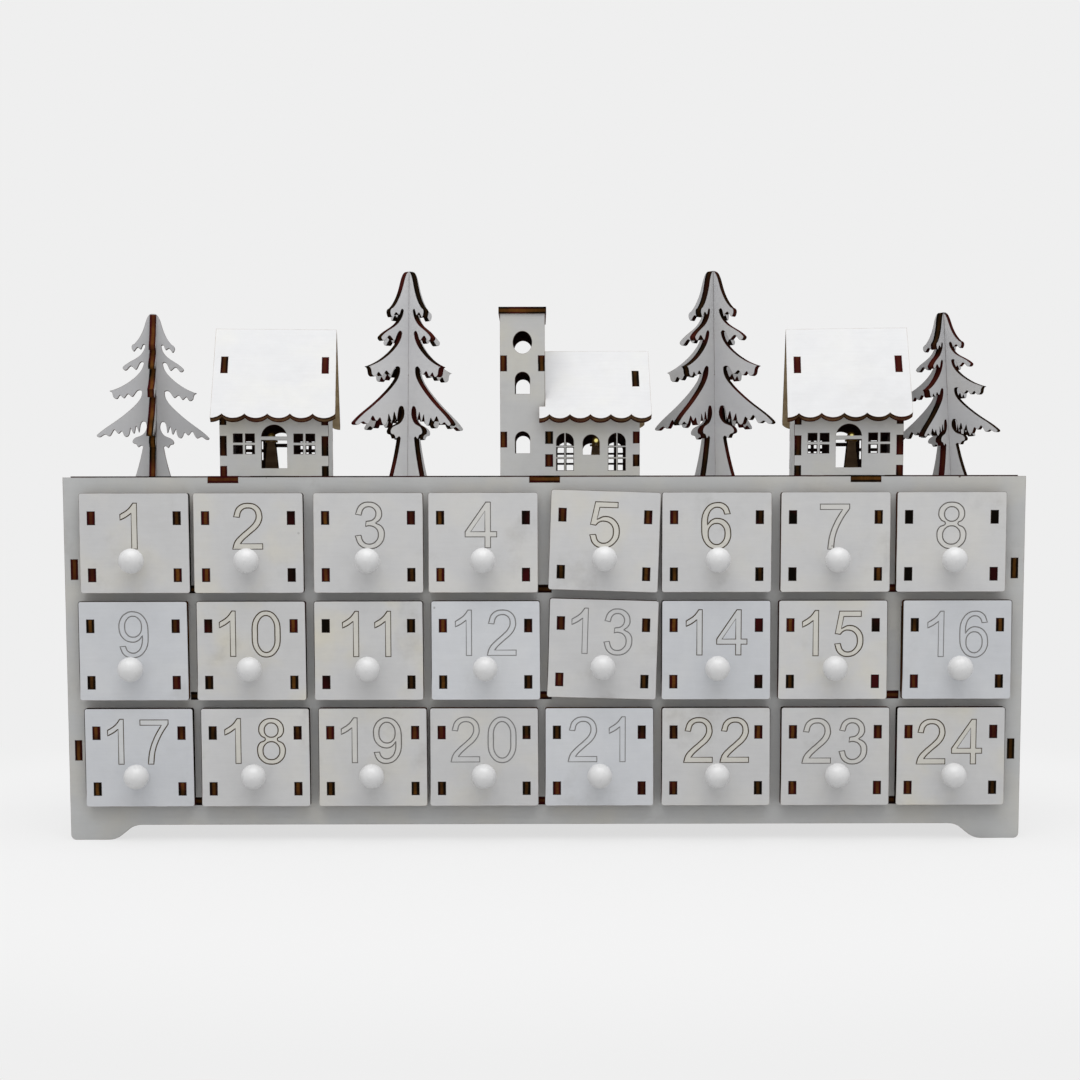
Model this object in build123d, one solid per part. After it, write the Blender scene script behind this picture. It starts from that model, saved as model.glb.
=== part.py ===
"""Wooden advent calendar: a box of numbered drawers with a small winter village on its lid board.

Everything but the knobs and the lighting is cut from one thickness of board and held by tabs in slots.
The frame is millimetres, +Z up, the drawers face -Y, and the origin is at the middle of the floor below.
"""
import os
from math import asin, cos, degrees, radians, sin, tan

from build123d import *

# Board stock, the fit of tabs in slots, and the overrun of every cut
SHEET = 2.7
FIT = 0.1
OVERRUN = 1.0

# Drawer grid: fronts and the gaps between them
COLUMNS = 8
ROWS = 3
FRONT_W = 43.6
FRONT_H = 39.75
FRONT_GAP_X = 3.1
FRONT_GAP_Z = 3.25
FRONT_CORNER = 1.0

# Drawer box: how far the front stands past it and off the frame, its length, its play in the opening, its joints
FRONT_RETURN = 3.4
FRONT_TOP_RETURN = 4.0
FRONT_STANDOFF = 2.0
DRAWER_L = 62.0
SIDE_PLAY = 1.6
TOP_PLAY = 1.3
DRAWER_TAB_H = 4.9
LOWER_TAB_RISE = 2.0
UPPER_TAB_DROP = 3.5
FLOOR_TAB_L = 14.0

# Where each drawer rests inside its side play, row by row from the top, -1 to 1, and by number the two that rest
# aslant on one lower corner, with the share of the top play that they take up
REST_PLAY_SHARES = (
    (0.09, -0.73, -0.12, -0.75, -0.06, -0.96, -0.59, -0.91),
    (-0.68, -0.42, -0.29, -0.23, -0.43, -0.96, -0.95, 0.95),
    (0.25, 0.22, 0.52, -0.71, -0.96, -0.85, -0.04, -0.19),
)
REST_RISE_SHARES = {5: 0.90, 13: 0.80}

# Turned knob
KNOB_D = 10.2
KNOB_NECK_D = 6.4
KNOB_STANDOFF = 6.2
KNOB_SPIGOT_D = 4.0
KNOB_RISE = 12.95

# Box round the drawers: margins of the front frame, feet, side panels, tabs
SIDE_MARGIN = 7.25
TOP_MARGIN = 6.3
RAIL_H = 8.25
FOOT_H = 6.1
FOOT_FLAT = 15.0
FOOT_SWEEP = 14.0
FOOT_CORNER = 2.2
SIDE_INSET = 2.5
LID_PROUD = 0.5
LID_TAB_W = 12.0
LID_TAB_SPREAD = 128.5
SHELF_TAB_W = 5.0
SHELF_SIDE_TAB_L = 14.0
SIDE_TAB_H = 8.0
SIDE_TAB_SHARES = (0.250, 0.749)
CRATE_EXTRA = 4.0

# Battery box, its cells and the switch in the bay behind the drawers
CELL_D = 14.5
CELL_L = 50.0
CELL_NIB_D = 5.4
CELL_NIB_L = 1.2
CELL_ROOM = 0.4
BATTERY_WALL = 2.0
BATTERY_FLANGE = 7.0
BATTERY_FLANGE_T = 1.6
BATTERY_DROP = 36.0
BAY_ROOM = 4.3
CONTACT_T = 0.8
CONTACT_W = 9.0
COVER_LEDGE = 3.0
COVER_PLAY = 0.3
COVER_GRIP_W = 16.0
COVER_GRIP_DEPTH = 1.2
COVER_GRIP_DROP = 4.0
COVER_GRIP_H = 5.0
SWITCH_X = 58.0
SWITCH_W = 17.0
SWITCH_H = 9.0
SWITCH_DEPTH = 6.5
SWITCH_POCKET = 3.2
SLIDER_BASE_W = 7.0
SLIDER_BASE_H = 5.0
SLIDER_STEM_W = 4.6
SLIDER_STEM_H = 3.4
SLIDER_TRAVEL = 4.0
SLIDER_PLAY = 0.3

# Places of the village along the lid board, as shares of half its length, and the turn and lean of each piece
LEFT_SMALL_FIR_SHARE = -0.875
LEFT_COTTAGE_SHARE = -0.5944
LEFT_BIG_FIR_SHARE = -0.3043
CHURCH_SHARE = -0.0956
RIGHT_BIG_FIR_SHARE = 0.3824
RIGHT_COTTAGE_SHARE = 0.6728
RIGHT_SMALL_FIR_SHARE = 0.910
LEFT_COTTAGE_TURN = 4.6
RIGHT_COTTAGE_TURN = -6.1
LEFT_SMALL_FIR_TURN = 8.8
LEFT_BIG_FIR_TURN = 43.0
RIGHT_BIG_FIR_TURN = 52.0
RIGHT_SMALL_FIR_TURN = 49.5
LEFT_SMALL_FIR_LEAN = 1.1
LEFT_BIG_FIR_LEAN = 0.8
RIGHT_BIG_FIR_LEAN = -1.1
RIGHT_SMALL_FIR_LEAN = -3.7

# Joints that every little building shares
WALL_TAB_W = 5.0
WALL_LIFT = 0.5
ROOF_TAB_L = 9.0
ROOF_TAB_SHARE = 0.40
SCALLOP_SAG = 2.3
SCALLOPS = 5.5

# Cottage: walls, roof, windows of four panes, and a door under a half-round light
COTTAGE_W = 44.3
COTTAGE_DEPTH = 48.0
COTTAGE_WALL_H = 28.0
COTTAGE_PITCH = 52.3
COTTAGE_EAVE = 3.1
COTTAGE_VERGE = 3.1
COTTAGE_FINGER_SHARES = ((0.0, 0.16), (0.317, 0.598), (0.765, 1.0))
PANE_W = 3.6
PANE_H = 3.4
PANE_BAR = 1.3
WINDOW_X = 12.3
WINDOW_Z = 9.6
COTTAGE_REAR_DROP = 0.9
DOOR_W = 10.5
DOOR_Z = 3.7
DOOR_H = 11.5
TRANSOM = 1.5
FANLIGHT_H = 4.8

# Church: an L-shaped front with a flat-capped tower, and a nave under a lower roof
TOWER_W = 18.45
TOWER_H = 66.9
CHURCH_W = 57.7
CHURCH_DEPTH = 39.0
NAVE_WALL_H = 27.2
NAVE_PITCH = 49.0
NAVE_EAVE = 3.0
NAVE_VERGE = 4.6
NAVE_RETURN = 2.35
NAVE_GABLE_GAP = 0.4
CAP_LAP = 0.6
TOWER_TAB_H = 6.2
TOWER_TAB_SHARES = (0.185, 0.651)
NAVE_TAB_H = 4.6
NAVE_TAB_SHARES = (0.167, 0.513)
OVAL_W = 7.9
OVAL_H = 9.2
OVAL_DROP = 11.7
TOWER_ARCH_W = 6.2
TOWER_ARCH_H = 9.0
TOWER_ARCH_SHARES = (0.147, 0.511)
NAVE_ARCH_W = 7.0
NAVE_ARCH_H = 15.2
NAVE_ARCH_Z = 2.8
NAVE_ARCH_BAR = 0.8
NAVE_ARCH_BAR_SHARES = (0.335, 0.645)
NAVE_SMALL_ARCH_H = 8.3
NAVE_SMALL_ARCH_Z = 9.2
NAVE_WINDOW_SHARES = (0.212, 0.488, 0.759)
REAR_WINDOW_DROP = 0.8
REAR_WINDOW_LESS = 1.2
REAR_WINDOW_SHIFT = 0.9

# Firs: two halved boards each, one outline at two heights
BIG_FIR_H = 86.5
SMALL_FIR_H = 69.0
FIR_TENON_W = 8.0
FIR_TOP_SHARES = ((0.0, 1.0), (0.020, 0.996), (0.035, 0.976), (0.052, 0.925), (0.078, 0.862), (0.114, 0.815))
FIR_TIERS_SHARES = (
    # each tier: the tip and the dripping lower edge back to the stem, then the next bough's upper edge
    (((0.114, 0.815), (0.127, 0.786), (0.117, 0.772), (0.092, 0.796), (0.077, 0.786), (0.059, 0.815),
      (0.047, 0.810)),
     ((0.047, 0.810), (0.056, 0.779), (0.080, 0.746), (0.130, 0.712), (0.175, 0.680))),
    (((0.175, 0.680), (0.182, 0.665), (0.168, 0.655), (0.133, 0.682), (0.106, 0.662), (0.084, 0.696),
      (0.069, 0.710), (0.056, 0.702)),
     ((0.056, 0.702), (0.066, 0.668), (0.091, 0.632), (0.140, 0.588), (0.201, 0.550), (0.261, 0.526))),
    (((0.261, 0.526), (0.243, 0.508), (0.237, 0.488), (0.216, 0.482), (0.199, 0.503), (0.177, 0.486),
      (0.152, 0.512), (0.130, 0.497), (0.101, 0.528), (0.084, 0.538), (0.068, 0.532)),
     ((0.068, 0.532), (0.073, 0.494), (0.098, 0.456), (0.153, 0.402), (0.224, 0.345), (0.300, 0.290),
      (0.332, 0.262))),
    (((0.332, 0.262), (0.337, 0.250), (0.325, 0.245), (0.288, 0.262), (0.265, 0.252), (0.231, 0.292),
      (0.209, 0.270), (0.190, 0.286), (0.169, 0.252), (0.152, 0.256), (0.135, 0.305), (0.117, 0.272),
      (0.102, 0.318), (0.087, 0.282), (0.069, 0.344), (0.048, 0.346)),
     ((0.048, 0.346), (0.046, 0.290), (0.071, 0.262), (0.108, 0.246), (0.124, 0.226))),
    (((0.124, 0.226), (0.118, 0.212), (0.101, 0.206), (0.091, 0.190), (0.074, 0.200), (0.062, 0.192)),
     ((0.062, 0.192), (0.079, 0.110), (0.110, 0.0))),
)

# Lighting: posts, lamps and their leads
POST_BASE_W = 6.4
POST_TOP_W = 3.4
POST_TENON_W = 4.0
COTTAGE_POST_H = 15.3
CHURCH_POST_H = 13.5
COTTAGE_POST_X = 2.8
CHURCH_POST_SHARE = 0.698
LAMP_FLANGE_D = 5.2
LAMP_FLANGE_T = 0.8
LAMP_D = 3.4
LAMP_STEM = 1.6
LEAD_D = 1.4
LEAD_BEND = 2.4
LEAD_ROOM = 0.4
LEAD_PITCH = 3.0

# Places worked out from the sizes above
PITCH_X = FRONT_W + FRONT_GAP_X
PITCH_Z = FRONT_H + FRONT_GAP_Z
WIDTH = COLUMNS * PITCH_X - FRONT_GAP_X + 2 * SIDE_MARGIN
HEIGHT = FOOT_H + RAIL_H + ROWS * PITCH_Z - FRONT_GAP_Z + TOP_MARGIN
DRAWER_W = FRONT_W - 2 * FRONT_RETURN
DRAWER_H = FRONT_H - SHEET - FRONT_TOP_RETURN
OPENING_W = DRAWER_W + 2 * SIDE_PLAY
OPENING_H = DRAWER_H + TOP_PLAY
BATTERY_DEPTH = CELL_D + CELL_ROOM + BATTERY_WALL
CRATE_DEPTH = DRAWER_L + CRATE_EXTRA
DEPTH = CRATE_DEPTH + BAY_ROOM + BATTERY_DEPTH + SHEET
KNOB_REACH = KNOB_STANDOFF + KNOB_D / 2
Y_FRONTS = KNOB_REACH - (KNOB_REACH + SHEET + FRONT_STANDOFF + DEPTH) / 2
Y_DRAWER = Y_FRONTS + SHEET
Y_FRAME = Y_DRAWER + FRONT_STANDOFF
Y_INSIDE = Y_FRAME + SHEET
Y_CRATE = Y_FRAME + CRATE_DEPTH
Y_BACK = Y_FRAME + DEPTH
Y_BACK_INSIDE = Y_BACK - SHEET
Y_VILLAGE = (Y_FRAME + Y_BACK) / 2
SIDE_OUT = WIDTH / 2 - SIDE_INSET
SIDE_IN = SIDE_OUT - SHEET
LID_TOP = HEIGHT + LID_PROUD
LID_BOTTOM = LID_TOP - SHEET
BATTERY_Z = LID_BOTTOM - BATTERY_DROP
COLUMN_LINES = [PITCH_X * (line - COLUMNS / 2) for line in range(1, COLUMNS)]
SHELF_TAB_LINES = COLUMN_LINES[::3]
LID_TABS = (-LID_TAB_SPREAD, 0, LID_TAB_SPREAD)
SHELF_TOPS = [FOOT_H + RAIL_H + SHEET + row * PITCH_Z for row in range(ROWS)]
SIDE_TABS = [share * HEIGHT for share in SIDE_TAB_SHARES]


# Flat shapes and boards

def rect(left, right, low, high):
    """A rectangle by its edges."""
    return Pos((left + right) / 2, (low + high) / 2) * Rectangle(right - left, high - low)


def slot(left, right, low, high):
    """The hole for a tab of these edges, with the fit all round."""
    return rect(left - FIT, right + FIT, low - FIT, high + FIT)


def across(middle, width):
    """Left and right edge of a width about a middle."""
    return middle - width / 2, middle + width / 2


def facing_board(shape, y, thickness=SHEET):
    """A board in X and Z whose front face is at y."""
    return extrude(Plane(origin=(0, y, 0), x_dir=(1, 0, 0), z_dir=(0, -1, 0)) * shape, -thickness)


def side_board(shape, x):
    """A board in Y and Z whose left face is at x."""
    return extrude(Plane(origin=(x, 0, 0), x_dir=(0, 1, 0), z_dir=(1, 0, 0)) * shape, SHEET)


def level_board(shape, z):
    """A board in X and Y whose under face is at z."""
    return extrude(Pos(0, 0, z) * shape, SHEET)


def arch(middle, width, low, height):
    """A round-headed opening."""
    left, right = across(middle, width)
    spring = low + height - width / 2
    head = Pos(middle, spring) * Circle(width / 2)
    return rect(left, right, low, spring) + head


def save(node, *solids):
    """Write one node, a group of separate solids where it has several."""
    export_step(solids[0] if len(solids) == 1 else Compound(children=list(solids)), f"parts/{node}.step")


# The box

def footed_outline():
    """Front and back board: a rectangle on two feet that sweep up into the rail."""
    half = WIDTH / 2
    start = half - FOOT_FLAT
    end = start - FOOT_SWEEP
    middle = (start + end) / 2
    edges = [
        Line((-half, 0), (-start, 0)),
        Bezier((-start, 0), (-middle, 0), (-middle, FOOT_H), (-end, FOOT_H)),
        Line((-end, FOOT_H), (end, FOOT_H)),
        Bezier((end, FOOT_H), (middle, FOOT_H), (middle, 0), (start, 0)),
        Line((start, 0), (half, 0)),
        Line((half, 0), (half, HEIGHT)),
        Line((half, HEIGHT), (-half, HEIGHT)),
        Line((-half, HEIGHT), (-half, 0)),
    ]
    outline = make_face(edges)
    floor_points = outline.vertices().group_by(Axis.Y)[0].sort_by(Axis.X)
    return fillet([floor_points[0], floor_points[-1]], FOOT_CORNER)


def lid_notches():
    """Notches in the top edge of the front and back for the lid board's tabs."""
    return [rect(*across(x, LID_TAB_W + 2 * FIT), LID_BOTTOM - FIT, HEIGHT + OVERRUN) for x in LID_TABS]


def side_panel_slots():
    """Slots in the front and back for the side panels' tabs."""
    return [slot(*across(side * (SIDE_OUT + SIDE_IN) / 2, SHEET), *across(z, SIDE_TAB_H))
            for side in (-1, 1) for z in SIDE_TABS]


def front_frame():
    """The face frame with one opening for each drawer."""
    openings = []
    for column in range(COLUMNS):
        middle = PITCH_X * (column - (COLUMNS - 1) / 2)
        openings += [rect(*across(middle, OPENING_W), top, top + OPENING_H) for top in SHELF_TOPS]
    shelf_slots = [slot(*across(x, SHELF_TAB_W), top - SHEET, top) for x in SHELF_TAB_LINES for top in SHELF_TOPS]
    return facing_board(footed_outline() - (openings + shelf_slots + lid_notches() + side_panel_slots()), Y_FRAME)


def back_panel():
    """The back, with the battery opening and the slot of the switch."""
    floor_slots = [slot(*across(x, LID_TAB_W), SHELF_TOPS[0] - SHEET, SHELF_TOPS[0]) for x in LID_TABS]
    battery = rect(*across(0, COVER_W + 2 * COVER_PLAY), *across(BATTERY_Z, COVER_H + 2 * COVER_PLAY))
    stem_run = SLIDER_STEM_W + SLIDER_TRAVEL + 2 * SLIDER_PLAY
    switch = rect(*across(SWITCH_X, stem_run), *across(BATTERY_Z, SLIDER_STEM_H + 2 * SLIDER_PLAY))
    cuts = floor_slots + lid_notches() + side_panel_slots() + [battery, switch]
    return facing_board(footed_outline() - cuts, Y_BACK_INSIDE)


def side_panel(side):
    """A side panel: tabs into front and back, slots for the shelves and the bottom board."""
    shape = rect(Y_INSIDE, Y_BACK_INSIDE, 0, LID_BOTTOM)
    shape += [rect(Y_FRAME, Y_BACK, *across(z, SIDE_TAB_H)) for z in SIDE_TABS]
    middle = (Y_INSIDE + Y_CRATE) / 2
    shape -= [slot(*across(middle, SHELF_SIDE_TAB_L), top - SHEET, top) for top in SHELF_TOPS]
    return side_board(shape, SIDE_IN if side > 0 else -SIDE_OUT)


def shelf_shape(depth_end):
    """A board between the sides with small front tabs and one tab through each side panel."""
    shape = rect(-SIDE_IN, SIDE_IN, Y_INSIDE, depth_end)
    shape += [rect(*across(x, SHELF_TAB_W), Y_FRAME, Y_INSIDE) for x in SHELF_TAB_LINES]
    middle = (Y_INSIDE + Y_CRATE) / 2
    shape += rect(-SIDE_OUT, SIDE_OUT, *across(middle, SHELF_SIDE_TAB_L))
    return shape


def bottom_board():
    """The lowest shelf, deep enough to be tabbed into the back as well."""
    shape = shelf_shape(Y_BACK_INSIDE) + [rect(*across(x, LID_TAB_W), Y_BACK_INSIDE, Y_BACK) for x in LID_TABS]
    return level_board(shape, SHELF_TOPS[0] - SHEET)


def halving_depth():
    """Where shelves and dividers are halved into each other."""
    return (Y_INSIDE + Y_CRATE) / 2


def shelf(row):
    """A shelf, slotted from the rear for the dividers."""
    cuts = [rect(*across(x, SHEET + 2 * FIT), halving_depth() - FIT, Y_CRATE + OVERRUN) for x in COLUMN_LINES]
    return level_board(shelf_shape(Y_CRATE) - cuts, SHELF_TOPS[row] - SHEET)


def divider(x):
    """An upright between two columns, slotted from the front for the shelves."""
    cuts = [slot(Y_INSIDE - OVERRUN, halving_depth(), top - SHEET, top) for top in SHELF_TOPS[1:]]
    return side_board(rect(Y_INSIDE, Y_CRATE, SHELF_TOPS[0], LID_BOTTOM) - cuts, x - SHEET / 2)


# Drawers

def drawer_tabs():
    """Heights of the tabs at the drawer's corners, above the drawer's underside."""
    low = LOWER_TAB_RISE
    high = DRAWER_H - UPPER_TAB_DROP - DRAWER_TAB_H
    return [(low, low + DRAWER_TAB_H), (high, high + DRAWER_TAB_H)]


def drawer_solids():
    """Front, two sides, back, floor and knob, with the drawer's underside at z = 0 and its middle at x = 0."""
    outer = DRAWER_W / 2
    inner = outer - SHEET
    rear = Y_DRAWER + DRAWER_L
    knob_z = KNOB_RISE - SHEET
    face = Pos(0, FRONT_H / 2 - SHEET) * RectangleRounded(FRONT_W, FRONT_H, FRONT_CORNER)
    side_slots = [slot(*across(side * (outer + inner) / 2, SHEET), low, high)
                  for side in (-1, 1) for low, high in drawer_tabs()]
    spigot_hole = Pos(0, knob_z) * Circle(KNOB_SPIGOT_D / 2 + FIT / 2)
    front = facing_board(face - (side_slots + [spigot_hole]), Y_FRONTS)

    wall = rect(Y_DRAWER, rear, 0, DRAWER_H)
    wall += [rect(Y_FRONTS, Y_DRAWER, low, high) for low, high in drawer_tabs()]
    wall -= [slot(rear - SHEET, rear + OVERRUN, low, high) for low, high in drawer_tabs()]
    floor_middle = (Y_DRAWER + rear - SHEET) / 2
    wall -= rect(*across(floor_middle, FLOOR_TAB_L + 2 * FIT), -OVERRUN, SHEET + FIT)
    sides = [side_board(wall, x) for x in (-outer, inner)]

    end = rect(-inner, inner, 0, DRAWER_H) + [rect(-outer, outer, low, high) for low, high in drawer_tabs()]
    back = facing_board(end, rear - SHEET)
    base = rect(-inner, inner, Y_DRAWER, rear - SHEET) + rect(-outer, outer, *across(floor_middle, FLOOR_TAB_L))
    floor = level_board(base, 0)

    seat = Plane(origin=(0, Y_FRONTS, knob_z), x_dir=(1, 0, 0), z_dir=(0, -1, 0))
    knob = extrude(seat * Circle(KNOB_NECK_D / 2), KNOB_STANDOFF)
    knob += seat * Pos(0, 0, KNOB_STANDOFF) * Sphere(KNOB_D / 2)
    knob += extrude(seat * Circle(KNOB_SPIGOT_D / 2), -SHEET)
    return [front, *sides, back, floor, knob]


def drawer_place(number):
    """Where a numbered drawer rests: numbers run along the rows from the top left."""
    row, column = divmod(number - 1, COLUMNS)
    middle = PITCH_X * (column - (COLUMNS - 1) / 2) + SIDE_PLAY * REST_PLAY_SHARES[row][column]
    rise = TOP_PLAY * REST_RISE_SHARES.get(number, 0)
    tilt = degrees(asin(rise / DRAWER_W))
    return Pos(middle, 0, SHELF_TOPS[ROWS - 1 - row] + rise / 2) * Rot(0, tilt, 0)


# Little buildings, drawn about their own middle line with the lid board's top at z = 0

def slope_length(depth, eave, pitch):
    """From the ridge down the slope to the points between the scallops."""
    return (depth / 2 + eave) / cos(radians(pitch))


def slope_strip(apex, pitch, start, end, way):
    """A tab on a gable's sloping edge, from start to end down the slope, as deep as the roof board."""
    run = Vector(way * cos(radians(pitch)), -sin(radians(pitch)))
    out = Vector(way * sin(radians(pitch)), cos(radians(pitch))) * SHEET
    top = Vector(0, apex)
    corners = [top + run * start, top + run * end, top + run * end + out, top + run * start + out]
    return make_face(Polyline(*corners, close=True))


def roof_tab_ends(length):
    """Where a roof tab starts and ends down the slope."""
    return across(ROOF_TAB_SHARE * length, ROOF_TAB_L)


def gable(depth, wall_h, pitch, fingers, roof_tab_at=None):
    """A pentagon wall across a building: fingers through the long walls, tabs through the roof."""
    apex = wall_h + depth / 2 * tan(radians(pitch))
    half = depth / 2
    shape = make_face(Polyline((-half, 0), (half, 0), (half, wall_h), (0, apex), (-half, wall_h), close=True))
    gaps = []
    low = 0
    for start, end in list(fingers) + [(apex, apex)]:
        gaps.append((low, start))
        low = end
    for low, high in gaps:
        if high > low:
            shape -= [rect(-half - OVERRUN, -half + SHEET, low, high), rect(half - SHEET, half + OVERRUN, low, high)]
    if roof_tab_at:
        shape += [slope_strip(apex, pitch, *roof_tab_at, way) for way in (-1, 1)]
    return shape


def scalloped_roof(left, right, length, ridge_lap, cuts):
    """A roof board drawn flat, ridge at y = 0: the eave is a half scallop, then whole ones."""
    pitch = (right - left) / SCALLOPS
    radius = (pitch * pitch / 4 + SCALLOP_SAG * SCALLOP_SAG) / (2 * SCALLOP_SAG)
    reach = asin(pitch / 2 / radius)
    centre_y = -length - SCALLOP_SAG + radius

    def arc(middle, start, end):
        points = [(middle + radius * sin(turn), centre_y - radius * cos(turn))
                  for turn in (start, (start + end) / 2, end)]
        return ThreePointArc(*points)

    edges = [arc(left, 0, reach)]
    edges += [arc(left + pitch * (count + 1), -reach, reach) for count in range(int(SCALLOPS))]
    edges += [
        Line((right, -length), (right, ridge_lap)),
        Line((right, ridge_lap), (left, ridge_lap)),
        Line((left, ridge_lap), (left, -length - SCALLOP_SAG)),
    ]
    return make_face(edges) - cuts


def roof_plane(apex, pitch, way):
    """The plane of a slope's underside: its local y runs up the slope to the ridge."""
    normal = (0, way * sin(radians(pitch)), cos(radians(pitch)))
    return Plane(origin=(0, 0, apex), x_dir=(-way, 0, 0), z_dir=normal)


def wall_tabs(places):
    """Tabs below a wall that stand in the lid board: beside them the wall is clear of the lid."""
    return [rect(*across(x, WALL_TAB_W), -SHEET, WALL_LIFT) for x in places]


def wall_slots(places, depth):
    """The lid board's slots for the tabs of a building's two long walls."""
    return [slot(*across(x, WALL_TAB_W), *across(side * (depth - SHEET) / 2, SHEET))
            for x in places for side in (-1, 1)]


COTTAGE_TABS = (-WINDOW_X, WINDOW_X)


def cottage_fingers():
    """Heights at which a cottage's gables come through its long walls."""
    return [(low * COTTAGE_WALL_H, high * COTTAGE_WALL_H) for low, high in COTTAGE_FINGER_SHARES]


def cottage_wall(drop):
    """A long wall: two windows of four panes, the door and its light."""
    half = COTTAGE_W / 2
    shape = rect(-half, half, WALL_LIFT, COTTAGE_WALL_H) + wall_tabs(COTTAGE_TABS)
    cuts = []
    for low, high in cottage_fingers():
        cuts += [rect(-half - OVERRUN, -half + SHEET + FIT, low - FIT, high + FIT),
                 rect(half - SHEET - FIT, half + OVERRUN, low - FIT, high + FIT)]
    pane_x = (PANE_W + PANE_BAR) / 2
    for window in (-WINDOW_X, WINDOW_X):
        for x in (window - pane_x, window + pane_x):
            for low in (WINDOW_Z - drop, WINDOW_Z - drop + PANE_H + PANE_BAR):
                cuts.append(rect(*across(x, PANE_W), low, low + PANE_H))
    head_z = DOOR_Z - drop + DOOR_H
    cuts.append(rect(*across(0, DOOR_W), DOOR_Z - drop, head_z))
    light_z = head_z + TRANSOM
    light = Line((-DOOR_W / 2, light_z), (DOOR_W / 2, light_z))
    head = ThreePointArc((DOOR_W / 2, light_z), (0, light_z + FANLIGHT_H), (-DOOR_W / 2, light_z))
    cuts.append(make_face([light, head]))
    return shape - cuts


def cottage():
    """Walls, gables, front roof and rear roof of one cottage."""
    half = COTTAGE_W / 2
    apex = COTTAGE_WALL_H + COTTAGE_DEPTH / 2 * tan(radians(COTTAGE_PITCH))
    length = slope_length(COTTAGE_DEPTH, COTTAGE_EAVE, COTTAGE_PITCH)
    tab = roof_tab_ends(length)
    walls = [facing_board(cottage_wall(0), -COTTAGE_DEPTH / 2),
             facing_board(cottage_wall(COTTAGE_REAR_DROP), COTTAGE_DEPTH / 2 - SHEET)]
    end = gable(COTTAGE_DEPTH, COTTAGE_WALL_H, COTTAGE_PITCH, cottage_fingers(), tab)
    gables = [side_board(end, x) for x in (-half, half - SHEET)]
    roof_half = half + COTTAGE_VERGE
    cuts = [slot(*across(side * (half - SHEET / 2), SHEET), -tab[1], -tab[0]) for side in (-1, 1)]
    lap = SHEET * sin(radians(2 * COTTAGE_PITCH))
    front = scalloped_roof(-roof_half, roof_half, length, lap, cuts)
    rear = scalloped_roof(-roof_half, roof_half, length, 0, cuts)
    front_roof = extrude(roof_plane(apex, COTTAGE_PITCH, -1) * front, SHEET)
    rear_roof = extrude(roof_plane(apex, COTTAGE_PITCH, 1) * rear, SHEET)
    return walls, gables, front_roof, rear_roof


# The church, drawn from the tower's left edge at x = 0

CHURCH_TABS = (TOWER_W / 2, (TOWER_W + CHURCH_W) / 2)
NAVE_LEFT = TOWER_W + NAVE_GABLE_GAP
NAVE_RIGHT = CHURCH_W - SHEET


def tower_fingers(shares):
    """Heights of the tower walls' tabs."""
    return [(share * TOWER_H, share * TOWER_H + TOWER_TAB_H) for share in shares]


def nave_fingers():
    """Heights of the nave gables' tabs."""
    return [(share * NAVE_WALL_H, share * NAVE_WALL_H + NAVE_TAB_H) for share in NAVE_TAB_SHARES]


def lattice_arch(middle, sill, height):
    """An arched window divided by one upright and level bars."""
    bars = rect(*across(middle, NAVE_ARCH_BAR), sill, sill + height)
    for share in NAVE_ARCH_BAR_SHARES:
        level = sill + share * height
        bars += rect(*across(middle, NAVE_ARCH_W), *across(level, NAVE_ARCH_BAR))
    return arch(middle, NAVE_ARCH_W, sill, height) - bars


def church_wall(drop, less, shift):
    """The L-shaped long wall: tower windows, nave windows, notches and slots for the cross walls."""
    outline = [(0, WALL_LIFT), (CHURCH_W, WALL_LIFT), (CHURCH_W, NAVE_WALL_H), (TOWER_W, NAVE_WALL_H),
               (TOWER_W, TOWER_H), (0, TOWER_H)]
    shape = make_face(Polyline(*outline, close=True)) + wall_tabs(CHURCH_TABS)
    cuts = [rect(-OVERRUN, SHEET + FIT, low - FIT, high + FIT) for low, high in tower_fingers(TOWER_TAB_SHARES)]
    for low, high in tower_fingers(TOWER_TAB_SHARES[1:]):
        cuts.append(rect(TOWER_W - SHEET - FIT, TOWER_W + OVERRUN, low - FIT, high + FIT))
    for low, high in nave_fingers():
        cuts.append(slot(NAVE_LEFT, NAVE_LEFT + SHEET, low, high))
        cuts.append(rect(NAVE_RIGHT - FIT, CHURCH_W + OVERRUN, low - FIT, high + FIT))
    cuts.append(Pos(TOWER_W / 2, TOWER_H - OVAL_DROP) * Ellipse(OVAL_W / 2, OVAL_H / 2))
    cuts += [arch(TOWER_W / 2, TOWER_ARCH_W, share * TOWER_H, TOWER_ARCH_H) for share in TOWER_ARCH_SHARES]
    windows = [TOWER_W + share * (CHURCH_W - TOWER_W) + shift for share in NAVE_WINDOW_SHARES]
    cuts += [lattice_arch(windows[place], NAVE_ARCH_Z - drop, NAVE_ARCH_H - less) for place in (0, 2)]
    cuts.append(arch(windows[1], NAVE_ARCH_W, NAVE_SMALL_ARCH_Z - drop, NAVE_SMALL_ARCH_H - less))
    return shape - cuts


def tower_wall(shares):
    """A tower side: full height between the long walls, with tabs through them."""
    half = CHURCH_DEPTH / 2
    shape = rect(-half + SHEET, half - SHEET, 0, TOWER_H)
    return shape + [rect(-half, half, low, high) for low, high in tower_fingers(shares)]


def nave_roof(ridge_lap, length, tab, mirrored):
    """A nave roof board: it butts the tower, and below the wall its eave returns past the tower's corner."""
    left = TOWER_W - NAVE_RETURN
    right = CHURCH_W + NAVE_VERGE
    clear = CHURCH_DEPTH / 2 / cos(radians(NAVE_PITCH)) + FIT
    cuts = [slot(NAVE_RIGHT, CHURCH_W, -tab[1], -tab[0]),
            rect(left - OVERRUN, TOWER_W + FIT, -clear, ridge_lap + OVERRUN)]
    shape = scalloped_roof(left, right, length, ridge_lap, cuts)
    return mirror(shape, about=Plane.YZ) if mirrored else shape


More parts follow.
